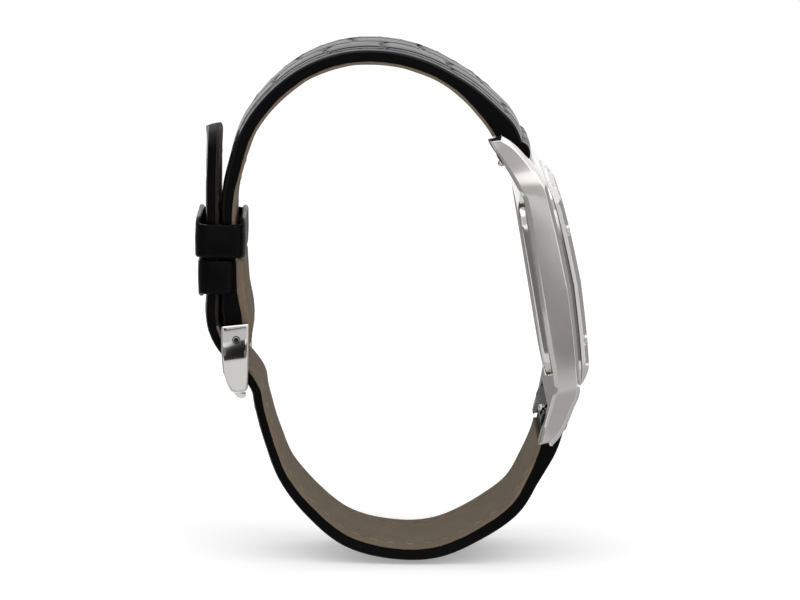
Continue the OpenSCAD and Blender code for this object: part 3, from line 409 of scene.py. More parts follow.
def grain_effect():
    """Leather pores and faint cloudy patches."""
    group, given, out = effect("leather_grain", [
        ["Pore size", "NodeSocketFloat", 3000.0], ["Dark", "NodeSocketColor", (0, 0, 0, 1)],
        ["Light", "NodeSocketColor", (1, 1, 1, 1)], ["Roughness", "NodeSocketFloat", 0.5],
        ["Spread", "NodeSocketFloat", 0.1],
    ], [["Height", "NodeSocketFloat"], ["Colour", "NodeSocketColor"],
        ["Roughness", "NodeSocketFloat"]])
    link = group.links.new
    place = group.nodes.new("ShaderNodeTexCoord")
    pores = add(group, "ShaderNodeTexVoronoi", feature="DISTANCE_TO_EDGE")
    fine = add(group, "ShaderNodeTexNoise", Detail=4.0, Roughness=0.65)
    cloud = add(group, "ShaderNodeTexNoise", Scale=260.0, Detail=3.0, Roughness=0.6)
    fine_scale = add(group, "ShaderNodeMath", operation="MULTIPLY")
    fine_scale.inputs[1].default_value = 0.8
    height = add(group, "ShaderNodeMath", operation="ADD")
    tint = add(group, "ShaderNodeMix", data_type="RGBA")
    mask = add(group, "ShaderNodeMath", operation="MULTIPLY")
    spread = add(group, "ShaderNodeMapRange")
    low = add(group, "ShaderNodeMath", operation="SUBTRACT")
    high = add(group, "ShaderNodeMath", operation="ADD")
    link(place.outputs["Object"], pores.inputs["Vector"])
    link(place.outputs["Object"], fine.inputs["Vector"])
    link(place.outputs["Object"], cloud.inputs["Vector"])
    link(given.outputs["Pore size"], pores.inputs["Scale"])
    link(given.outputs["Pore size"], fine_scale.inputs[0])
    link(fine_scale.outputs[0], fine.inputs["Scale"])
    link(pores.outputs["Distance"], height.inputs[0])
    link(fine.outputs["Fac"], height.inputs[1])
    link(fine.outputs["Fac"], mask.inputs[0])
    link(cloud.outputs["Fac"], mask.inputs[1])
    mask.use_clamp = True
    link(mask.outputs[0], tint.inputs["Factor"])
    link(given.outputs["Dark"], tint.inputs["A"])
    link(given.outputs["Light"], tint.inputs["B"])
    link(given.outputs["Roughness"], low.inputs[0])
    link(given.outputs["Spread"], low.inputs[1])
    link(given.outputs["Roughness"], high.inputs[0])
    link(given.outputs["Spread"], high.inputs[1])
    link(cloud.outputs["Fac"], spread.inputs["Value"])
    link(low.outputs[0], spread.inputs["To Min"])
    link(high.outputs[0], spread.inputs["To Max"])
    link(height.outputs[0], out.inputs["Height"])
    link(tint.outputs["Result"], out.inputs["Colour"])
    link(spread.outputs["Result"], out.inputs["Roughness"])
    return group


brushed_lines = brushed_effect()
leather_grain = grain_effect()


def metal(name, colour, roughness, spread, stretch, depth):
    """Metal with fine lines: stretch sets how many lines fit in a metre each way."""
    finish, tree, shader = new_finish(name)
    shader.inputs["Base Color"].default_value = (*colour, 1)
    shader.inputs["Metallic"].default_value = 1
    lines = tree.nodes.new("ShaderNodeGroup")
    lines.node_tree = brushed_lines
    lines.inputs["Stretch"].default_value = stretch
    lines.inputs["Roughness"].default_value = roughness
    lines.inputs["Spread"].default_value = spread
    bump = add(tree, "ShaderNodeBump", Strength=1.0, Distance=depth * MM)
    tree.links.new(lines.outputs["Height"], bump.inputs["Height"])
    tree.links.new(lines.outputs["Roughness"], shader.inputs["Roughness"])
    tree.links.new(bump.outputs["Normal"], shader.inputs["Normal"])
    return finish


def soft(name, dark, light, roughness, spread, pore_size, depth, specular=0.5):
    """Leather, plastic or rubber with grain."""
    finish, tree, shader = new_finish(name)
    shader.inputs["Specular IOR Level"].default_value = specular
    grain = tree.nodes.new("ShaderNodeGroup")
    grain.node_tree = leather_grain
    grain.inputs["Pore size"].default_value = pore_size
    grain.inputs["Dark"].default_value = (*dark, 1)
    grain.inputs["Light"].default_value = (*light, 1)
    grain.inputs["Roughness"].default_value = roughness
    grain.inputs["Spread"].default_value = spread
    bump = add(tree, "ShaderNodeBump", Strength=1.0, Distance=depth * MM)
    tree.links.new(grain.outputs["Height"], bump.inputs["Height"])
    tree.links.new(grain.outputs["Colour"], shader.inputs["Base Color"])
    tree.links.new(grain.outputs["Roughness"], shader.inputs["Roughness"])
    tree.links.new(bump.outputs["Normal"], shader.inputs["Normal"])
    return finish


satin_steel = metal("satin_steel", (0.62, 0.59, 0.57), 0.25, 0.006, (9000, 9000, 500), 0.000006)
polished_steel = metal("polished_steel", (0.78, 0.77, 0.75), 0.07, 0.03, (700, 700, 700), 0.0001)
movement_steel = metal("movement_steel", (0.68, 0.68, 0.68), 0.25, 0.08, (900, 6000, 900), 0.001)
movement_brass = metal("movement_brass", (0.80, 0.66, 0.36), 0.3, 0.08, (900, 900, 7000), 0.001)
coil_copper = metal("coil_copper", (0.72, 0.36, 0.18), 0.35, 0.1, (500, 14000, 500), 0.01)
blued_steel = metal("blued_steel", (0.03, 0.04, 0.09), 0.16, 0.05, (700, 5000, 5000), 0.0005)
scale_leather = soft("scale_leather", (0.003, 0.003, 0.004), (0.009, 0.009, 0.010),
                     0.24, 0.08, 3400, 0.012, 0.16)
edge_paint = soft("edge_paint", (0.001, 0.001, 0.001), (0.004, 0.004, 0.004),
                  0.45, 0.12, 2600, 0.02, 0.05)
keeper_leather = soft("keeper_leather", (0.001, 0.001, 0.001), (0.004, 0.004, 0.004),
                      0.26, 0.1, 3000, 0.012, 0.07)
# Dark lining edges: edge paint, made darker as painted shade, used only on the tail
lining_edge_paint_and_shade = soft("lining_edge_paint_and_shade", (0.008, 0.007, 0.005), (0.025, 0.022, 0.016),
                   0.7, 0.08, 2300, 0.03, 0.2)
lining_leather = soft("lining_leather", (0.12, 0.09, 0.058), (0.27, 0.21, 0.142),
                      0.72, 0.08, 2300, 0.03, 0.3)
thread_tan = soft("thread_tan", (0.22, 0.16, 0.10), (0.45, 0.35, 0.25), 0.6, 0.1, 5200, 0.02, 0.3)
thread_black = soft("thread_black", (0.006, 0.006, 0.006), (0.02, 0.02, 0.02),
                    0.5, 0.1, 5200, 0.02)
rubber = soft("rubber", (0.012, 0.012, 0.012), (0.03, 0.03, 0.03), 0.6, 0.1, 2500, 0.01, 0.4)
pale_plastic = soft("pale_plastic", (0.60, 0.57, 0.50), (0.78, 0.75, 0.68), 0.45, 0.06, 1800, 0.004)
board_green = soft("board_green", (0.008, 0.06, 0.03), (0.02, 0.14, 0.07), 0.4, 0.08, 1500, 0.004)


def dial_finish():
    """Silvered dial with rays from its centre."""
    finish, tree, shader = new_finish("silvered_dial")
    place = tree.nodes.new("ShaderNodeTexCoord")
    split = tree.nodes.new("ShaderNodeSeparateXYZ")
    angle = add(tree, "ShaderNodeMath", operation="ARCTAN2")
    rays = add(tree, "ShaderNodeTexNoise", noise_dimensions="1D", Scale=26.0, Detail=5.0)
    tint = add(tree, "ShaderNodeMix", data_type="RGBA")
    tint.inputs["A"].default_value = (0.60, 0.59, 0.57, 1)
    tint.inputs["B"].default_value = (0.80, 0.79, 0.77, 1)
    bump = add(tree, "ShaderNodeBump", Strength=1.0, Distance=0.004 * MM)
    tree.links.new(place.outputs["Object"], split.inputs[0])
    tree.links.new(split.outputs["Y"], angle.inputs[0])
    tree.links.new(split.outputs["Z"], angle.inputs[1])
    tree.links.new(angle.outputs[0], rays.inputs["W"])
    tree.links.new(rays.outputs["Fac"], tint.inputs["Factor"])
    tree.links.new(rays.outputs["Fac"], bump.inputs["Height"])
    tree.links.new(tint.outputs["Result"], shader.inputs["Base Color"])
    tree.links.new(bump.outputs["Normal"], shader.inputs["Normal"])
    shader.inputs["Metallic"].default_value = 0.85
    shader.inputs["Roughness"].default_value = 0.32
    return finish


def crystal_finish():
    """Clear glass with faint smears."""
    finish, tree, shader = new_finish("clear_crystal")
    shader.inputs["Base Color"].default_value = (0.96, 0.98, 0.98, 1)
    shader.inputs["Transmission Weight"].default_value = 1
    shader.inputs["IOR"].default_value = 1.6
    smear = add(tree, "ShaderNodeTexNoise", Scale=180.0, Detail=2.0)
    spread = add(tree, "ShaderNodeMapRange")
    spread.inputs["To Min"].default_value = 0.0
    spread.inputs["To Max"].default_value = 0.03
    place = tree.nodes.new("ShaderNodeTexCoord")
    tree.links.new(place.outputs["Object"], smear.inputs["Vector"])
    tree.links.new(smear.outputs["Fac"], spread.inputs["Value"])
    tree.links.new(spread.outputs["Result"], shader.inputs["Roughness"])
    return finish


silvered_dial = dial_finish()
clear_crystal = crystal_finish()

slot_finish = {
    "satin_steel": satin_steel, "polished_steel": polished_steel,
    "movement_steel": movement_steel, "movement_brass": movement_brass,
    "coil_copper": coil_copper, "board": board_green, "holder_plastic": pale_plastic,
    "gasket_rubber": rubber, "crystal_gasket": pale_plastic, "crystal": clear_crystal,
    "dial": silvered_dial, "hands": blued_steel, "black_leather": scale_leather,
    "lining_leather": lining_leather,
}


def finish_nodes():
    """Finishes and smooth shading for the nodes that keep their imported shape."""
    for part in frame["record"]["subparts"]:
        node = frame["nodes"][part["node"]]
        node.data.materials.clear()
        node.data.materials.append(slot_finish[part["material_slot"]])
        smooth(node.data, 28)


finish_nodes()

# Case

STEEL = [satin_steel, polished_steel, rubber]
# The third index picks the dark rubber finish, used as painted shade in the bezel's seam
SATIN, POLISHED, PAINTED_SEAM_SHADE = 0, 1, 2


def case_corners(u):
    """The eight corners of the case across its height at each u, with the corners' z."""
    s, t = np.sign(u), np.abs(u)
    f, g = curve(front_edge, t), curve(flank_front, t)
    r, q, w = curve(rear_edge, t), curve(flank_rear, t), curve(flank_y, t)[:, 0]
    slope = front_slope * (1 - 0.35 * t)
    rows = [
        (r, -w + rear_slope), (q, -w), (g, -w), (f, -w + slope),
        (f, w - slope), (g, w), (q, w), (r, w - rear_slope),
    ]
    return np.stack([np.stack([p[:, 0], y, s * p[:, 1]], 1) for p, y in rows], 1)


corner_steps = 3


def rounded(corners, radii):
    """Rings with each corner turned into a small arc of corner_steps points."""
    count = corners.shape[1]
    rows = []
    for j in range(count):
        here = corners[:, j]
        before, after = corners[:, j - 1] - here, corners[:, (j + 1) % count] - here
        a = here + before / np.linalg.norm(before, axis=1)[:, None] * radii[j]
        b = here + after / np.linalg.norm(after, axis=1)[:, None] * radii[j]
        for k in range(corner_steps):
            f = k / (corner_steps - 1)
            rows.append((1 - f) ** 2 * a + 2 * f * (1 - f) * here + f * f * b)
    return np.stack(rows, 1)


# Radius of each edge of the case, and its rounded ends: how far each ring stands out and draws in
case_edge_r = [0.08, 0.08, 0.08, 0.1, 0.1, 0.08, 0.08, 0.08]
lug_end_rings = [(0.1, 0.03), (0.16, 0.09), (0.18, 0.17)]


def build_case():
    """Case with brushed flanks and back, polished bevels and ends, and its openings."""
    u = np.linspace(-1, 1, 241)
    rings = rounded(case_corners(u), case_edge_r)
    ends = []
    for e, push in ((0, -1), (-1, 1)):
        middle = rings[e].mean(0)
        for grow, shrink in lug_end_rings:
            ring = rings[e] - (rings[e] - middle) / np.linalg.norm(
                rings[e] - middle, axis=1)[:, None] * shrink
            ends.append(ring + [0, 0, push * grow])
    rings = np.concatenate([[ends[2], ends[1], ends[0]], rings, ends[3:]])
    points, faces = skin(rings)
    part = np.array([POLISHED, SATIN, POLISHED, POLISHED, POLISHED, SATIN, POLISHED, SATIN])
    band = np.repeat(part, corner_steps)
    shade = np.concatenate([np.tile(band, len(rings) - 1), [POLISHED, POLISHED]])
    case = piece("case_body", points, faces, STEEL, shade)
    tools = []
    for s in (-1, 1):
        low, high = (body_reach, 30) if s > 0 else (-30, -body_reach)
        half = lug_gap / 2
        tools.append(prism("gap_tool", [(-half, low), (half, low), (half, high), (-half, high)],
                           -10, 20, "x", STEEL, index=SATIN))
    tools.append(prism("movement_tool", square(opening_w, opening_w, cavity_r), -1, 12, "x", STEEL))
    tools.append(prism("dial_tool", square(dial_w, dial_w, cavity_r), seat_x, 12, "x", STEEL))
    tools.append(prism("tube_tool", disc(stem_x, 0, tube_r), opening_w / 2 - 1, case_w, "y", STEEL))
    for s in (-1, 1):
        for side in (-1, 1):
            a, b = lug_gap / 2 - 0.3, lug_gap / 2 + bar_hole_depth
            hole = disc(lug_bar[0], s * lug_bar[1], bar_tip_r + bar_hole_room)
            tools.append(prism("bar_hole_tool", hole,
                               min(side * a, side * b), max(side * a, side * b), "y", STEEL))
    dress(cut(case, tools), "watch", "satin_steel", "mid_case")


# The front edge as far as the shoulder, which is its fourth of eight points
shoulder_t = 3 / 7
edge_t = np.linspace(0, shoulder_t, 400)
edge_line = curve(front_edge, edge_t)


def front_height(z):
    """Height of the case front over the case back at z."""
    return np.interp(np.abs(z), edge_line[:, 1], edge_line[:, 0])


# The bezel is level over this share of the front edge, then loses this share of its thickness
bezel_level_share = 0.65
bezel_end_loss = 0.77


def bezel_rise(z):
    """Thickness of the bezel at z, which falls off at its two ends."""
    u = np.interp(np.abs(z), edge_line[:, 1], edge_t) / shoulder_t
    past = (u - bezel_level_share) / (1 - bezel_level_share)
    return bezel_t * (1 - bezel_end_loss * ease(past))


def bezel_top(path):
    """Height of the bezel's front for each point of a path."""
    return front_height(path[:, 1]) + bezel_rise(path[:, 1])


def inset(path, other, depth):
    """Path moved towards another path by depth millimetres."""
    way = other - path
    return path + way / np.linalg.norm(way, axis=1)[:, None] * depth


def level(path, height):
    """Path in the plane of the dial, raised to a height for each point."""
    return np.stack([height, path[:, 0], path[:, 1]], 1)


def screw_places():
    """Places of the eight bezel screws: two along each side."""
    return [p for s in (-1, 1) for k in (-1, 1)
            for p in ((s * screw_row, k * screw_spread), (k * screw_spread, s * screw_row))]


# Shares of the bezel's rise: its ledge, the top of the seam, which is painted dark as shade, and
# the run of the slope
ledge_share = 0.24
seam_share = 0.32
slope_share = 0.62
seam_depth = 0.22


def build_bezel():
    """Frame with a polished slope round its front, a seam at its foot painted dark as shade, and a
    fine inner edge.
    """
    hole_w = crystal_w + 2 * crystal_gasket_t
    outer = square(bezel_w, bezel_h, bezel_r, 16, 40)
    inner = square(hole_w, hole_w, crystal_r + crystal_gasket_t, 16, 40)
    foot = front_height(outer[:, 1])
    rise = bezel_rise(outer[:, 1])
    at_top = inset(outer, inner, slope_share * rise[:, None])
    ledge, seam = foot + ledge_share * rise, foot + seam_share * rise
    seam_foot = inset(outer, inner, seam_depth)
    near = outer + (at_top - outer) * 0.94
    rows = [level(outer, foot - 0.05), level(outer, ledge)]
    rows += [level(seam_foot, ledge), level(seam_foot, seam)]
    rows += [level(inset(outer, inner, 0.03), seam), level(inset(outer, inner, 0.05), seam + 0.05)]
    rows.append(level(near, seam + (bezel_top(at_top) - seam) * 0.95))
    rows.append(level(inset(at_top, inner, 0.08), bezel_top(at_top)))
    for f in (0.25, 0.5, 0.75):
        path = at_top + (inner - at_top) * f
        rows.append(level(path, bezel_top(path)))
    lip = inset(inner, outer, 0.09)
    rows += [level(lip, bezel_top(lip)), level(inset(inner, outer, 0.03), bezel_top(inner) - 0.03)]
    rows += [level(inner, bezel_top(inner) - 0.09), level(inner, front_height(inner[:, 1]) - 0.05)]
    points, faces = skin(rows, loop=True)
    # The seam's three bands take the dark finish as painted shade
    bands = [POLISHED, PAINTED_SEAM_SHADE, PAINTED_SEAM_SHADE, PAINTED_SEAM_SHADE] + [POLISHED] * 4 + [SATIN] * 4 + [POLISHED] * 4
    bezel = piece("bezel_frame", points, faces, STEEL, np.repeat(bands, len(outer)))
    tools = []
    for y, z in screw_places():
        reach = np.array([[0, abs(z) + bezel_screw_d / 4]])
        seat = float(bezel_top(reach)[0]) - screw_head_t - 0.04
        tools.append(prism("screw_tool", disc(y, z, bezel_screw_d / 2, 32), seat, 12, "x", STEEL,
                           index=POLISHED))
    dress(cut(bezel, tools), "watch", "satin_steel", "bezel")


def build_crystal():
    """Glass that follows the bow of the bezel."""
    path = square(crystal_w, crystal_w, crystal_r, 12, 24)
    middle = np.zeros_like(path)

    def low(p):
        """Underside of the glass over a path."""
        return level(p, front_height(p[:, 1]) + crystal_seat)

    def high(p, drop=0.0):
        """Top of the glass over a path, or a little below it."""
        return level(p, bezel_top(p) + crystal_proud - drop)

    shares = [0.04, 0.1, 0.2, 0.32, 0.45, 0.58, 0.7, 0.82, 0.92, 0.97]
    rows = [low(path * s) for s in shares]
    rows += [low(path), high(path, 0.1), high(inset(path, middle, 0.12))]
    rows += [high(path * s) for s in shares[::-1]]
    points, faces = skin(rows)
    dress(piece("crystal_glass", points, faces, [clear_crystal]), "watch", "crystal", "crystal")


def build_case_back():
    """Plate with a rounded rim and sunk screw seats."""
    outer = square(back_w, back_h, back_r, 14, 20)
    middle = np.zeros_like(outer)
    flat = np.ones(len(outer))
    rows = [level(inset(outer, middle, 0.12), flat * (back_t + 0.02))]
    rows += [level(outer, flat * (back_t - 0.12))]
    for a in np.radians([0, 15, 30, 45, 60, 75, 90]):
        depth = back_round * (1 - math.cos(a)) + 0.05
        rows.append(level(inset(outer, middle, depth),
                          flat * (back_round - back_round * math.sin(a))))
    for share in (0.9, 0.6, 0.25, 0.02):
        rows.append(level(outer * share, flat * 0))
    points, faces = skin(rows)
    shade = np.repeat([POLISHED] * 8 + [SATIN] * 4, len(outer)).tolist() + [SATIN, SATIN]
    back = mend_normals(piece("case_back_plate", points, faces, STEEL, shade))
    seat_y = back_w / 2 - back_seat_inset
    tools = [prism("seat_tool", disc(sy * seat_y, sz * back_seat_z, back_seat_r, 32),
                   -1, back_seat_depth, "x", STEEL, index=POLISHED)
             for sy in (-1, 1) for sz in (-1, 1)]
    dress(cut(back, tools), "watch", "satin_steel", "case_back")


build_case()
build_bezel()
build_case_back()
build_crystal()

# Dial and hands


track_inset = 0.75
track_corner = 3.2
paint_t = 0.02
hour_mark = (0.8, 0.12)
minute_mark = (0.5, 0.07)


def build_minute_track():
    """Painted minute marks round the dial, the hours' ones longer."""
    half = crystal_w / 2 - track_inset
    points, faces = [], []
    for m in range(60):
        a = math.radians(6 * m)
        reach = half / max(abs(math.cos(a)), abs(math.sin(a)))
        reach = min(reach, half + track_corner)
        long, wide = hour_mark if m % 5 == 0 else minute_mark
        out = np.array([math.cos(a), math.sin(a)])
        side = np.array([-out[1], out[0]]) * wide / 2
        base = len(points)
        for height in (dial_face_x, dial_face_x + paint_t):
            for corner in (out * reach - side, out * reach + side,
                           out * (reach - long) + side, out * (reach - long) - side):
                points.append((height, corner[0], corner[1]))
        faces.append((base + 4, base + 5, base + 6, base + 7))
        faces += [(base + k, base + (k + 1) % 4, base + 4 + (k + 1) % 4, base + 4 + k)
                  for k in range(4)]
        faces.append((base + 3, base + 2, base + 1, base))
    track = piece("minute_track", points, faces, [thread_black])
    dress(track, "watch", "hands")


bar_inset = 1.3
bar_corner_inset = 0.6
bar_long = 2.6
bar_short = 2.0
bar_half_w = 0.3
twin_bar_half_w = 0.27
twin_bar_shift = 0.38
bar_bevel = 0.16
bar_side_t = 0.14
bar_top_t = 0.26


def build_hour_bars():
    """Bevelled bars at the hours, two at 12 o'clock."""
    points, faces = [], []
    for h in range(12):
        a = math.radians(30 * h)
        reach = min((crystal_w / 2 - bar_inset) / max(abs(math.cos(a)), abs(math.sin(a))),
                    crystal_w / 2 - bar_corner_inset)
        long = bar_long if h % 3 == 0 else bar_short
        out = np.array([math.cos(a), math.sin(a)])
        side = np.array([-out[1], out[0]])
        for shift in ((-twin_bar_shift, twin_bar_shift) if h == 3 else (0,)):
            wide = bar_half_w if h != 3 else twin_bar_half_w
            base = len(points)
            for height, grow in ((0, 0), (bar_side_t, 0), (bar_top_t, -bar_bevel)):
                for du, dv in ((1, -1), (1, 1), (-1, 1), (-1, -1)):
                    along = reach - long / 2 + du * (long / 2 + grow)
                    across = shift + dv * (wide + grow)
                    p = out * along + side * across
                    points.append((dial_face_x + height, p[0], p[1]))
            for low in (base, base + 4):
                faces += [(low + k, low + (k + 1) % 4, low + 4 + (k + 1) % 4, low + 4 + k)
                          for k in range(4)]
            faces.append((base + 8, base + 9, base + 10, base + 11))
            faces.append((base + 3, base + 2, base + 1, base))
    bars = piece("hour_bars", points, faces, [polished_steel], crease=20)
    dress(bars, "watch", "polished_steel", "hour_markers")


def build_hand(name, body, node, x, length, width, tail, boss, hole, turn):
    """Tapered hand with a ridge along its middle and a round boss."""
    steps = [(-tail, 0.33), (-boss * 0.7, 0.45), (length * 0.78, 1.0), (length, 0.04)]
    rings = []
    for along, share in steps:
        half = max(width / 2 * share, 0.02)
        rings.append([(x, -half, along), (x + 0.06, -half, along), (x + 0.13, 0, along),
                      (x + 0.06, half, along), (x, half, along)])
    points, faces = skin(rings)
    blade = piece(name, points, faces, [blued_steel], crease=10)
    rings = []
    for r, height in ((hole, 0), (boss - 0.05, 0), (boss, 0.04), (boss, 0.1), (boss - 0.08, 0.15),
                      (hole + 0.05, 0.15), (hole, 0.12)):
        rings.append([(x + height, y, z) for y, z in disc(0, 0, r, 48)])
    points, faces = skin(rings, loop=True)
    ring = piece(name + "_boss", points, faces, [blued_steel])
    bm = bmesh.new()
    bm.from_mesh(blade.data)
    bm.from_mesh(ring.data)
    bmesh.ops.recalc_face_normals(bm, faces=bm.faces)
    bmesh.ops.rotate(bm, verts=bm.verts, cent=(0, 0, 0),
                     matrix=Matrix.Rotation(math.radians(-turn), 3, "X"))
    bm.to_mesh(blade.data)
    bm.free()
    bpy.data.objects.remove(ring)
    dress(blade, body, "hands", node)


build_minute_track()
build_hour_bars()

# Turns of the hands in degrees, at 10 hours, 9 minutes and 35 seconds
seconds_turn = 6 * 35
minute_turn = 6 * (9 + 35 / 60)
hour_turn = 300 + minute_turn / 12
build_hand("hour_hand_blade", "hours", "hour_hand", x=4.8, length=6.6, width=1.0, tail=1.3,
           boss=1.0, hole=0.6, turn=hour_turn)
build_hand("minute_hand_blade", "minutes", "minute_hand", x=5.08, length=9.6, width=0.8, tail=1.5,
           boss=0.75, hole=0.33, turn=minute_turn)
build_hand("seconds_hand_blade", "seconds", "seconds_hand", x=5.36, length=10.2, width=0.3,
           tail=2.8, boss=0.5, hole=0.1, turn=seconds_turn)

# Strap

# Points across a ring of leather: its scaled top, then one edge, the back and the other edge
top_points = 101
top_middle = top_points // 2
edge_first = top_points + 2
edge_points = 15
back_first = top_points + 8
back_points = 5

# Points across the inside of a ring of lining
lining_points = 61

# Distance between rings along the strap
leather_step = 0.22
lining_step = 0.3


def stations(route, side, step, first=0.0, last=1.0):
    """Places every step millimetres along a route: t, distance, point and outward direction."""
    t = np.linspace(0, 1, 4001)
    p = curve(route, t)
    run = np.concatenate([[0], np.cumsum(np.linalg.norm(np.diff(p, axis=0), axis=1))])
    start, end = np.interp([first, last], t, run)
    s = np.linspace(start, end, int(round((end - start) / step)) + 1)
    t = np.interp(s, run, t)
    p = curve(route, t)
    d = curve(route, np.minimum(t + 0.001, 1)) - curve(route, np.maximum(t - 0.001, 0))
    u = side * d / np.linalg.norm(d, axis=1)[:, None]
    return t, s, p, np.stack([u[:, 1], -u[:, 0]], 1)


def half_width(t, end):
    """Half the strap's width at t, which narrows until t reaches end."""
    return strap_lug_w / 2 + (strap_buckle_w - strap_lug_w) / 2 * ease(t / end)


# Where the top half's leather turns double, and the swell of its fold over the buckle bar
fold_start = 0.665
fold_run = 0.16
swell_t = 0.7
swell_top = 7.2
swell_run = 3.6


def leather_at(t, end, side):
    """Thickness of the leather: padded at the lugs, thin near the buckle, double at its bar."""
    pad, fold = (top_pad_t, leather_fold_t) if side > 0 else (bottom_pad_t, 0)
    return (leather_t + pad * (1 - ease(t / end * 5)) + fold * ease((t - fold_start) / fold_run)
            - (leather_t - leather_end_t) * ease((t / end - 0.6) * 3))


def fold_swell(p):
    """Swell of the folded leather over the buckle bar, towards the tail, at points p."""
    rise = ease((buckle_bar[1] + swell_top - p[:, 1]) / swell_run)
    return swell_t * rise * (p[:, 0] < -loop_depth + 3)


# Scales of the leather: columns, depth and width of their grooves and of the dip beside these
scale_column = 5.6
groove_depth = 0.24
groove_w = 0.26
dip_depth = 0.10
dip_w = 0.9
seam_groove_depth = 0.13
seam_groove_w = 0.22


def scale_relief(s, y, half, seed):
    """Depth of the scales' grooves and swell at distance s along and y across the strap."""
    rng = np.random.default_rng(seed)
    bounds = np.cumsum(np.concatenate([[-4], rng.uniform(7.2, 10.0, 24)]))
    sw = s + 0.5 * waves(y, seed + 1, 9) + 0.25 * waves(s + y * 3, seed + 2, 5)
    relief = np.zeros_like(s)
    for side in (-1, 1):
        shift = 0 if side < 0 else rng.uniform(2.5, 4.5)
        mine = y * side >= 0
        row = np.searchsorted(bounds + shift, sw)
        near = np.minimum(sw - (bounds + shift)[np.clip(row - 1, 0, 24)],
                          (bounds + shift)[np.clip(row, 0, 24)] - sw)
        column = scale_column + rng.uniform(-0.5, 0.5, 30)[np.clip(row, 0, 29)]
        edge = np.abs(np.abs(y) + 0.2 * waves(s, seed + 3 + side, 6) - column)
        gap = np.minimum(np.abs(near), edge)
        gap = np.minimum(gap, np.abs(y) + 0.15)
        here = -groove_depth * np.exp(-(gap / groove_w) ** 2) - dip_depth * np.exp(-gap / dip_w)
        relief = np.where(mine, here, relief)
    crease = np.abs(half - leather_seam_inset - np.abs(y))
    relief = relief * np.clip((half - 1.4 - np.abs(y)) / 0.5, 0, 1)
    return relief - seam_groove_depth * np.exp(-(crease / seam_groove_w) ** 2)


def half_at(t, narrow, tip):
    """Half the width of a strap half at t, rounded over the last share of its route."""
    k = np.maximum(0, (t - 1 + tip) / max(tip, 0.001))
    return half_width(t, narrow) * np.sqrt(np.maximum(1 - 0.985 * k * k, 0.01))


def meeting_line(s, seed):
    """Uneven line along which the leather and the lining meet at the strap's edge."""
    return 0.05 * waves(s, seed + 20, 7) + 0.03 * waves(s, seed + 21, 2.3)


def leather_rings(t, s, p, out, side, narrow, tip, seed):
    """Rings of a strap half's leather: scaled top, round shoulders, painted edges and flat back."""
    half = half_at(t, narrow, tip)
    thick = leather_at(t, narrow, side)
    if side > 0:
        thick = thick + fold_swell(p)
    low = thick - leather_edge_drop
    shoulder = strap_shoulder
    lower = meeting_line(s, seed)
    ys, ns = [], []
    for v in np.linspace(-1, 1, top_points):
        y = v * (half - shoulder)
        crown = low + (thick - low) * (1 - abs(v) ** 3)
        ys.append(y)
        ns.append(crown + scale_relief(s, y, half, seed))
    for a in np.radians([75, 55, 35, 15]):
        ys.append(half - shoulder + shoulder * math.cos(a) + 0 * t)
        ns.append(low - edge_round + edge_round * math.sin(a))
    for f in (1, 0.66, 0.33, 0.04):
        ys.append(half + 0.05 * math.sin(math.pi * f) + 0.02 * waves(s, seed + 30 + int(9 * f), 4))
        ns.append((low - edge_round) * f + lower * (1 - f))
    for v in (0.985, 0.5, 0, -0.5, -0.985):
        ys.append(v * half)
        ns.append(0 * t + lower * (abs(v) > 0.9) - 0.02)
    for f in (0.04, 0.33, 0.66, 1):
        ys.append(-half - 0.05 * math.sin(math.pi * f) - 0.02 * waves(s, seed + 40 + int(9 * f), 4))
        ns.append((low - edge_round) * f + lower * (1 - f))
    for a in np.radians([15, 35, 55, 75]):
        ys.append(-half + shoulder - shoulder * math.cos(a) + 0 * t)
        ns.append(low - edge_round + edge_round * math.sin(a))
    y, n = np.stack(ys, 1), np.stack(ns, 1)
    x = p[:, :1] + out[:, :1] * n
    z = p[:, 1:] + out[:, 1:] * n
    return np.stack([x, side * y, z], 2), thick


# Radius of each rolled end round its spring bar, at degrees on from the first ring; None is the
# first ring's own radius
roll_end = 248
top_roll = [[0, None], [19, 2.68], [36, 2.85], [52, 2.98], [66, 2.93], [80, 2.62], [98, 2.2],
            [116, 1.95], [130, strap_roll_r], [roll_end, strap_roll_r]]
bottom_roll = [[0, None], [80, strap_roll_r], [roll_end, strap_roll_r]]
roll_steps = 60
roll_inner_r = 0.8
notch_r = 0.85


def roll_rings(first_ring, bar, side):
    """Rings that carry the leather's top on round the spring bar, with a notch for its knob."""
    reach = np.linalg.norm(first_ring[:, [0, 2]] - bar, axis=1)
    crest = first_ring[top_middle]
    start = math.atan2(crest[2] - bar[1], crest[0] - bar[0])
    knob = math.atan2(-side * knob_way[1], knob_way[0])
    table = np.array([[a, reach[top_middle] if r is None else r]
                      for a, r in (top_roll if side > 0 else bottom_roll)])
    rings = []
    for k in range(roll_steps, 0, -1):
        turn = roll_end * k / roll_steps
        a = start - side * math.radians(turn)
        crown = np.interp(turn, table[:, 0], table[:, 1])
        size = crown - (reach[top_middle] - reach) * (1 - ease(turn / 120))
        apart = abs((a - knob + math.pi) % (2 * math.pi) - math.pi)
        if apart < math.radians(notch_half_turn):
            notch = np.abs(first_ring[:, 1] - notch_y) < notch_half_w
            size = np.where(notch, notch_r, size)
        under = np.clip((reach - roll_inner_r) / 1.2, 0, 1)
        under[back_first:back_first + back_points] = 0
        rise = (min(size[0], size[top_points - 1]) - roll_inner_r) * under
        low = np.minimum(roll_inner_r + rise, size[0] - 0.02)
        size[top_points:] = low[top_points:]
        ring = first_ring.copy()
        ring[:, 0] = bar[0] + size * math.cos(a)
        ring[:, 2] = bar[1] + size * math.sin(a)
        rings.append(ring)
    return rings


# Outline of the folded end round the buckle bar, from the bar: [x, z]
fold_r = 1.06
fold_outline = [[-1.96, 0.75], [-1.5, 0.4]] + [
    [fold_r * math.cos(math.radians(a)), fold_r * math.sin(math.radians(a))]
    for a in range(180, 361, 15)] + [[1.04, 0.28]]


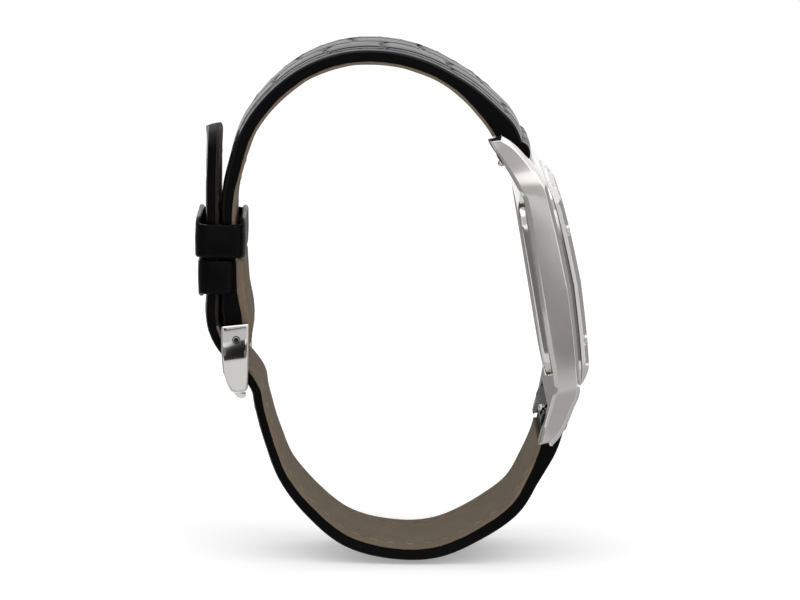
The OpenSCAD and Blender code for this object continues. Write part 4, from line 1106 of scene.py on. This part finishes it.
def fold_rings(last_ring, thick):
    """Rings that carry the leather of the top half round the buckle bar."""
    pivot = buckle_bar + top_end[-1]
    share = np.linalg.norm(last_ring[:, [0, 2]] - pivot, axis=1) / thick
    rings = []
    for corner in fold_outline:
        way = buckle_bar + corner - pivot
        ring = last_ring.copy()
        ring[:, 0] = pivot[0] + way[0] * share
        ring[:, 2] = pivot[1] + way[1] * share
        rings.append(ring)
    return rings


def tail_tools(finish):
    """Cutters for the holes in the tail and the slot that the tang goes through."""
    tools = []
    for i in (0, 1):
        place = buckle_bar + tail_bends[13] - [0, i * tail_hole_pitch]
        tools.append(prism("hole_tool", disc(0, place[1], tail_hole_d / 2, 40),
                           place[0] - 4, place[0] + 4, "x", [finish]))
    turn = math.radians(tang_slot_turn)
    slot = [(tang_slot[0] + x * math.cos(turn) - z * math.sin(turn),
             tang_slot[1] + x * math.sin(turn) + z * math.cos(turn))
            for x, z in ((-3, -1.3), (3, -1.3), (3, 1.2), (-3, 1.2))]
    half = tang_w / 2 + tang_room
    tools.append(prism("slot_tool", slot, -half, half, "y", [finish]))
    return tools


def build_leather(name, route, side, narrow, tip, seed, node):
    """Leather of a strap half, rolled round its spring bar; the top half folds at the buckle."""
    t, s, p, out = stations(route, side, leather_step)
    rings, thick = leather_rings(t, s, p, out, side, narrow, tip, seed)
    bar = np.array([lug_bar[0], side * lug_bar[1]])
    rows = [roll_rings(rings[0], bar, side), rings]
    if side > 0:
        rows.append(fold_rings(rings[-1], thick[-1]))
    rings = np.concatenate(rows)
    points, faces = skin(rings)
    n = rings.shape[1]
    band = np.zeros(n, int)
    band[edge_first:edge_first + edge_points] = 1
    shade = np.concatenate([np.tile(band, len(rings) - 1), [1, 1]])
    made = piece(name, points, faces, [scale_leather, edge_paint], shade, crease=50)
    mend_normals(made)
    if side > 0:
        half = tang_w / 2 + tang_room
        notch = [buckle_bar + c for c in ((-3, -3), (3, -3), (3, 2), (-3, 2))]
        tools = [prism("tang_tool", notch, -half, half, "y", [edge_paint])]
    else:
        tools = tail_tools(edge_paint)
    dress(cut(made, tools), "watch", "black_leather", node)


# Flap of the top lining, folded back over the buckle bar: outer and inner edge, from the bar
flap_outline = [
    [[1.07, 0.3], [2.12, 0.3]], [[1.1, 0], [2.08, -0.07]], [[1.04, -0.35], [1.95, -0.6]],
    [[0.93, -0.75], [1.78, -1.06]], [[0.78, -1.2], [1.4, -1.55]], [[0.66, -1.6], [0.98, -1.85]],
]

# Shares of the routes at which the flap, and the tail lining's dark edges, which carry painted
# shade as well as edge paint, begin
flap_start = 0.79
tail_start = 0.62


def build_lining(name, route, side, narrow, tip, seed, node, first):
    """Lining of a strap half from t = first on, with the sewing line pressed into its edges."""
    t, s, p, out = stations(route, side, lining_step, first)
    half = half_at(t, narrow, tip) - 0.04
    lower = meeting_line(s, seed)
    inner = -lining_t + 0.04 * waves(s, seed + 22, 5)
    if side > 0:
        inner = inner - flap_t * ease((t - flap_start) / 0.012)
        inner = inner - 0.09 * waves(s, 5, 9) * (t > flap_start + 0.01)
        outer_ends = np.array([buckle_bar + e[0] for e in flap_outline])
        inner_ends = np.array([buckle_bar + e[1] for e in flap_outline])
        way = outer_ends - inner_ends
        deep = np.linalg.norm(way, axis=1)
        p, out = np.concatenate([p, outer_ends]), np.concatenate([out, way / deep[:, None]])
        s = np.concatenate([s, s[-1] + 0.5 * np.arange(1, len(deep) + 1)])
        half = np.concatenate([half, half[-1] - 0.02 * np.arange(1, len(deep) + 1)])
        inner = np.concatenate([inner, -deep])
        lower = np.concatenate([lower, 0 * deep])
    ys, ns = [], []
    for v in np.linspace(-1, 1, lining_points):
        y = v * (half - 0.12)
        crease = np.abs(half - lining_seam_inset - np.abs(y))
        ys.append(y)
        ns.append(inner + 0.16 * np.exp(-(crease / 0.3) ** 2) + 0.03 * waves(s + y, seed + 23, 6))
    for f in (0.15, 0.5, 0.85):
        ys.append(half + 0.03 * math.sin(math.pi * f) + 0 * s)
        ns.append(inner * (1 - f) + lower * f)
    for v in (0.99, 0, -0.99):
        ys.append(v * half)
        ns.append(lower * (abs(v) > 0.9) + 0.01)
    for f in (0.85, 0.5, 0.15):
        ys.append(-half - 0.03 * math.sin(math.pi * f) + 0 * s)
        ns.append(inner * (1 - f) + lower * f)
    y, n = np.stack(ys, 1), np.stack(ns, 1)
    rings = np.stack([p[:, :1] + out[:, :1] * n, side * y, p[:, 1:] + out[:, 1:] * n], 2)
    points, faces = skin(rings)
    n = rings.shape[1]
    shade = np.zeros((len(rings) - 1, n), int)
    # On the tail, the lining's edges and end take the dark finish as painted shade
    if side < 0:
        tail = t[:-1] > tail_start
        shade[tail, lining_points - 1:lining_points + 3] = 1
        shade[tail, n - 4:] = 1
    shade = np.concatenate([shade.ravel(), [0, 1 if side < 0 else 0]])
    made = piece(name, points, faces, [lining_leather, lining_edge_paint_and_shade], shade, crease=60)
    mend_normals(made)
    if side < 0:
        made = cut(made, tail_tools(lining_leather))
    dress(made, "watch", "lining_leather", node)


def build_stitches(name, route, side, narrow, finish, slot, span, depth, inset_by, long):
    """Row of sewn stitches along both edges, at depth from the route."""
    t, _, p, out = stations(route, side, stitch_pitch, *span)
    half = half_width(t, narrow) - inset_by
    points, faces = [], []
    rng = np.random.default_rng(7)
    for i in range(1, len(t)):
        along = np.array([out[i][1], -out[i][0]]) * -side
        base_n = depth(t[i:i + 1])[0]
        for edge in (-1, 1):
            wobble = rng.uniform(-0.05, 0.05)
            rings = []
            for f in np.linspace(-1, 1, 7):
                r = 0.16 * math.sqrt(max(1 - f * f * 0.97, 0.01))
                lift = 0.12 * (1 - f * f) - 0.05
                ring = []
                for a in full_turn(8):
                    n = base_n + math.copysign(lift + r * 0.8 * math.sin(a), base_n)
                    y = edge * (half[i] + r * math.cos(a)) + wobble * f
                    x = p[i][0] + along[0] * f * long / 2 + out[i][0] * n
                    z = p[i][1] + along[1] * f * long / 2 + out[i][1] * n
                    ring.append((x, side * y, z))
                rings.append(ring)
            new_points, new_faces = skin(rings)
            base = len(points)
            points += new_points.tolist()
            faces += [tuple(base + k for k in face) for face in new_faces]
    dress(mend_normals(piece(name, points, faces, [finish], crease=80)), "watch", slot)


def lining_depth(t):
    """Depth of the lining's stitches from the route."""
    return 0 * t - lining_t + 0.12


def leather_depth(t, narrow, side):
    """Height of the leather's stitches over the route."""
    return leather_at(t, narrow, side) - leather_edge_drop - 0.02


# Shares of each half's route: where it has reached the buckle's width, the tail's round tip, and
# where the linings begin
top_narrow = 0.85
bottom_narrow = 0.42
tip_share = 0.09
top_lining_first = 2 / 40
bottom_lining_first = 2 / 72
build_leather("top_strap_leather", top_route, 1, top_narrow, 0, 11, "strap_top_leather")
build_leather("bottom_strap_leather", bottom_route, -1, bottom_narrow, tip_share, 23,
              "strap_bottom_leather")
build_lining("top_strap_lining", top_route, 1, top_narrow, 0, 11, "strap_top_lining",
             top_lining_first)
build_lining("bottom_strap_lining", bottom_route, -1, bottom_narrow, tip_share, 23,
             "strap_bottom_lining", bottom_lining_first)
build_stitches("top_lining_stitches", top_route, 1, top_narrow, thread_tan, "lining_leather",
               (0.07, 0.77), lining_depth, lining_seam_inset, lining_stitch)
build_stitches("bottom_lining_stitches", bottom_route, -1, bottom_narrow, thread_tan,
               "lining_leather", (0.05, 0.9), lining_depth, lining_seam_inset, lining_stitch)
build_stitches("top_leather_stitches", top_route, 1, top_narrow, thread_black, "black_leather",
               (0.07, 0.93), lambda t: leather_depth(t, top_narrow, 1), leather_seam_inset,
               leather_stitch)
build_stitches("bottom_leather_stitches", bottom_route, -1, bottom_narrow, thread_black,
               "black_leather", (0.05, 0.9), lambda t: leather_depth(t, bottom_narrow, -1),
               leather_seam_inset, leather_stitch)

# Keepers


# Corner radius inside and what the outside adds to it, and the swell of the band's middle
keeper_corner_r = 0.7
keeper_corner_grow = 1.2
keeper_barrel = 0.09


def build_keeper(name, at, tilt, depth, grow, body, node, seed):
    """Leather band with soft corners: its rims stand higher on the front and back faces."""
    rim, rim_round = 0.44, 0.06
    profile = [(0.0, f) for f in np.linspace(-rim, rim, 9)]
    profile += [(0.5 + 0.5 * math.cos(a), rim + rim_round * math.sin(a))
                for a in np.radians([150, 120, 90, 60, 30])]
    profile += [(1 + keeper_barrel * (1 - (2 * f) ** 2), f) for f in np.linspace(rim, -rim, 15)]
    profile += [(0.5 + 0.5 * math.cos(a), -rim + rim_round * math.sin(a))
                for a in np.radians([-30, -60, -90, -120, -150])]
    width = strap_buckle_w + 2 * keeper_room
    turn = math.radians(tilt)
    rows = []
    for share, f in profile:
        offset = keeper_t * share
        corner_r = keeper_corner_r + keeper_corner_grow * share
        path = square(depth + 2 * offset, width + 2 * offset, corner_r, 10, 20)
        run = np.concatenate([[0], np.cumsum(np.linalg.norm(np.diff(path, axis=0), axis=1))])
        face = 1 - ease((np.abs(path[:, 1]) - width / 2 + 2.2) / 2.4)
        h = f * keeper_h + face * (grow[1] * max(0, 2 * f) - grow[0] * max(0, -2 * f))
        h = h + 0.06 * waves(run, seed + 2, 13) * abs(2 * f)
        swell = (0.035 * waves(run, seed, 8) + 0.025 * waves(run + 6 * f, seed + 1, 3)) * share
        path = path * (1 + swell / np.linalg.norm(path, axis=1))[:, None]
        x = path[:, 0] * math.cos(turn) + h * math.sin(turn)
        z = -path[:, 0] * math.sin(turn) + h * math.cos(turn)
        rows.append(np.stack([at[0] + x, path[:, 1], at[1] + z], 1))
    points, faces = skin(rows, loop=True)
    made = mend_normals(piece(name, points, faces, [keeper_leather], crease=60))
    dress(made, body, "black_leather", node)


build_keeper("fixed_keeper_band", fixed_keeper_place, fixed_keeper_turn, fixed_keeper_depth,
             (0.6, 0.1), "watch", "fixed_keeper", 3)
build_keeper("sliding_keeper_band", sliding_keeper_place, sliding_keeper_turn,
             sliding_keeper_depth, (0.1, 0.7), "sliding_keeper", "sliding_keeper", 5)

# Buckle

# Side view of a buckle arm, from the buckle bar: [x, z]
arm_outline = [
    [-1.79, 2.2], [2.08, 1.94], [1.69, -0.2], [1.19, -2.85], [0.68, -5.5], [0.36, -7.04],
    [0.08, -7.43], [-0.31, -7.53], [-1.37, -7.46], [-2.01, -7.2], [-2.36, -6.09],
    [-2.6, -4.39], [-2.42, -1.99], [-2.01, 1],
]


def dome_arm(made, side):
    """Rounds an arm's outer face along its height."""
    bm = bmesh.new()
    bm.from_mesh(made.data)
    middle = buckle_bar[1] - arm_middle
    for z in np.arange(-arm_half_h, arm_half_h + 0.1, 0.3) + middle:
        geometry = bm.verts[:] + bm.edges[:] + bm.faces[:]
        bmesh.ops.bisect_plane(bm, geom=geometry, plane_co=(0, 0, z * MM), plane_no=(0, 0, 1))
    for x in np.arange(-2.5, 2.1, 0.4) + buckle_bar[0]:
        geometry = bm.verts[:] + bm.edges[:] + bm.faces[:]
        bmesh.ops.bisect_plane(bm, geom=geometry, plane_co=(x * MM, 0, 0), plane_no=(1, 0, 0))
    for vert in bm.verts:
        out = abs(vert.co.y) / MM - arm_y
        if out > buckle_arm_t / 2:
            vert.co.y -= side * arm_dome * ((vert.co.z / MM - middle) / arm_half_h) ** 2 * MM
    bm.to_mesh(made.data)
    bm.free()
    made.data.set_sharp_from_angle(angle=math.radians(50))


def build_buckle():
    """Two arms with rounded edges and a bowed bar between them."""
    arm = [buckle_bar + corner for corner in arm_outline]
    for side, name in ((-1, "buckle_arm_left"), (1, "buckle_arm_right")):
        ends = sorted((side * arm_y, side * (arm_y + buckle_arm_t)))
        made = prism(name, arm, *ends, "y", [polished_steel, rubber], arm_edge_r, 4)
        dome_arm(made, side)
        deep, outside = side * (arm_y + buckle_arm_t - pin_ring_depth), side * 12
        groove = [[(buckle_bar[0] + r * math.cos(a), y, buckle_bar[1] + r * math.sin(a))
                   for r, y in ((pin_end_r, deep), (pin_ring_r, deep),
                                (pin_ring_r, outside), (pin_end_r, outside))]
                  for a in full_turn(40) * side]
        points, faces = skin(groove, loop=True)
        ring = mend_normals(piece("ring_tool", points, faces, [rubber]))
        dress(cut(made, [ring]), "buckle", "polished_steel", "buckle_frame")
    reach = arm_y + 0.1
    rings = []
    for y in np.linspace(-reach, reach, 41):
        z = front_bar[1] - buckle_bow * (1 - (y / reach) ** 2)
        rings.append([(front_bar[0] + buckle_front_r * math.sin(a), y,
                       z + buckle_front_r * math.cos(a)) for a in full_turn(32)])
    points, faces = skin(rings)
    bar = mend_normals(piece("buckle_front_bar", points, faces, [polished_steel]))
    dress(bar, "buckle", "polished_steel")


build_buckle()

# Floor, light and camera

LEAN = math.radians(9.53)
up = Vector((math.sin(LEAN), 0, math.cos(LEAN)))
right = Vector((math.cos(LEAN), 0, -math.sin(LEAN)))
toward = Vector((0, -1, 0))
centre = Vector((-18.254, 0, -0.306)) * MM


def face_to(obj, place, look_at, top=up):
    """Places an object with its -Z axis towards look_at."""
    forward = (look_at - place).normalized()
    side = forward.cross(top).normalized()
    obj.matrix_world = Matrix.Translation(place) @ Matrix(
        (side, side.cross(forward), -forward)).transposed().to_4x4()


camera_place = Vector((-4.914, -591.763, 97.869)) * MM
camera_lens = 191.8


def build_camera():
    """Camera at the photograph's angle."""
    data = bpy.data.cameras.new("photo_view")
    view = bpy.data.objects.new("photo_view", data)
    bpy.context.scene.collection.objects.link(view)
    data.lens = camera_lens
    data.sensor_width = 36
    data.clip_start = 0.01
    data.clip_end = 20
    face_to(view, camera_place, centre)
    bpy.context.scene.camera = view


def area_light(name, way, size, power, distance):
    """Softbox that lights the watch from a direction."""
    data = bpy.data.lights.new(name, "AREA")
    data.shape = "RECTANGLE"
    data.size, data.size_y = size
    data.energy = power
    lamp = bpy.data.objects.new(name, data)
    bpy.context.scene.collection.objects.link(lamp)
    face_to(lamp, centre + way.normalized() * distance, centre,
            up if abs(way.normalized().dot(up)) < 0.95 else toward)


def card(name, rise, turn, size, grey, distance=1.2, shift=(0, 0)):
    """Plain studio card that only shows in reflections.

    Rise and turn are degrees from the view, size and distance metres, shift millimetres."""
    a, b = math.radians(rise), math.radians(turn)
    way = toward * math.cos(a) * math.cos(b) + right * math.cos(a) * math.sin(b) + up * math.sin(a)
    w, h = size[0] / 2, size[1] / 2
    mesh = bpy.data.meshes.new(name)
    mesh.from_pydata([(-w, -h, 0), (w, -h, 0), (w, h, 0), (-w, h, 0)], [], [(0, 1, 2, 3)])
    finish = bpy.data.materials.new(name)
    finish.use_nodes = True
    tree = finish.node_tree
    tree.nodes.clear()
    glow = add(tree, "ShaderNodeEmission", Strength=1.0)
    glow.inputs["Color"].default_value = (grey, grey, grey, 1)
    out = tree.nodes.new("ShaderNodeOutputMaterial")
    tree.links.new(glow.outputs[0], out.inputs["Surface"])
    mesh.materials.append(finish)
    made = bpy.data.objects.new(name, mesh)
    bpy.context.scene.collection.objects.link(made)
    lies_flat = abs(rise) > 80
    face_to(made, centre + way * distance, centre, -toward if lies_flat else up)
    move = right * shift[0] + (toward if lies_flat else up) * shift[1]
    made.matrix_world = Matrix.Translation(move * MM) @ made.matrix_world
    made.visible_camera = False
    made.visible_diffuse = False
    made.visible_shadow = False
    made.visible_transmission = False


def plain_rays(tree):
    """Socket that is 1 for rays of the camera, of glossy reflections and through glass, else 0."""
    path = tree.nodes.new("ShaderNodeLightPath")
    seen = add(tree, "ShaderNodeMath", operation="ADD")
    seen_through = add(tree, "ShaderNodeMath", operation="ADD")
    tree.links.new(path.outputs["Is Camera Ray"], seen.inputs[0])
    tree.links.new(path.outputs["Is Glossy Ray"], seen.inputs[1])
    tree.links.new(seen.outputs[0], seen_through.inputs[0])
    tree.links.new(path.outputs["Is Transmission Ray"], seen_through.inputs[1])
    return seen_through.outputs[0]


floor_gap = 0.3
floor_reach = 3000


def pale_floor():
    """Floor just below the strap, which keeps the shadow."""
    leather = frame["nodes"]["strap_bottom_leather"].data
    low = min(vert.co.dot(up) for vert in leather.vertices) - floor_gap * MM
    mesh = bpy.data.meshes.new("pale_floor")
    reach = floor_reach * MM
    mesh.from_pydata([(-reach, -reach, 0), (reach, -reach, 0), (reach, reach, 0),
                      (-reach, reach, 0)], [], [(0, 1, 2, 3)])
    floor = bpy.data.objects.new("pale_floor", mesh)
    bpy.context.scene.collection.objects.link(floor)
    floor.matrix_world = Matrix.Translation(up * low) @ Matrix(
        (right, -toward, up)).transposed().to_4x4()
    finish = bpy.data.materials.new("pale_floor")
    finish.use_nodes = True
    tree = finish.node_tree
    shader = tree.nodes["Principled BSDF"]
    shader.inputs["Base Color"].default_value = (0.9, 0.9, 0.9, 1)
    shader.inputs["Roughness"].default_value = 0.8
    shader.inputs["Specular IOR Level"].default_value = 0.1
    shader.inputs["Emission Color"].default_value = (1, 1, 1, 1)
    lift = add(tree, "ShaderNodeMath", operation="MULTIPLY")
    lift.inputs[1].default_value = 0.3
    tree.links.new(plain_rays(tree), lift.inputs[0])
    tree.links.new(lift.outputs[0], shader.inputs["Emission Strength"])
    mesh.materials.append(finish)


def studio_world():
    """Even light all round, and a white background."""
    world = bpy.data.worlds.new("studio")
    bpy.context.scene.world = world
    world.use_nodes = True
    tree = world.node_tree
    back = tree.nodes["Background"]
    back.inputs["Color"].default_value = (1, 1, 1, 1)
    strength = add(tree, "ShaderNodeMapRange")
    strength.inputs["To Min"].default_value = 0.8
    strength.inputs["To Max"].default_value = 1.0
    tree.links.new(plain_rays(tree), strength.inputs["Value"])
    tree.links.new(strength.outputs["Result"], back.inputs["Strength"])


build_camera()
pale_floor()
studio_world()

# Grey in front, below, behind and beside the watch, for the steel's darker facets
card("grey_flag_front", -16, 0, (0.26, 0.066), 0.18, 0.14)
card("grey_flag_low", -35, 0, (0.2, 0.04), 0.75, 0.055)
card("grey_mat_front", -90, 0, (0.32, 0.09), 0.55, 0.033, (0, 57))
card("grey_mat_right", -90, 0, (0.08, 0.08), 0.5, 0.033, (62, 0))
card("grey_flag_behind", -15, 180, (0.12, 0.05), 0.3, 0.065)
card("grey_flag_right_front", 0, 62, (0.09, 0.16), 0.72, 0.14)
card("grey_flag_right", 0, 103, (0.11, 0.16), 0.36, 0.14)
card("grey_flag_left", 5, -85, (0.16, 0.15), 0.32, 0.075)

# Pale card over the camera, and black parts of the camera and lamp that show in the buckle
card("card_above_camera", 21, 0, (1.6, 0.83), 0.6)
card("black_lens", 0, 0, (0.006, 0.034), 0.01, 0.1, (-26.3, -17.6))
card("black_lamp_edge", 0, 0, (0.02, 0.005), 0.01, 0.1, (-32.1, 15.9))

area_light("overhead_softbox", up + toward * 0.35, (0.7, 0.5), 0.8, 0.6)
area_light("fill_softbox", toward + up * 0.7 + right * 0.8, (0.5, 0.5), 0.35, 0.8)
bpy.context.scene.view_settings.view_transform = "Standard"
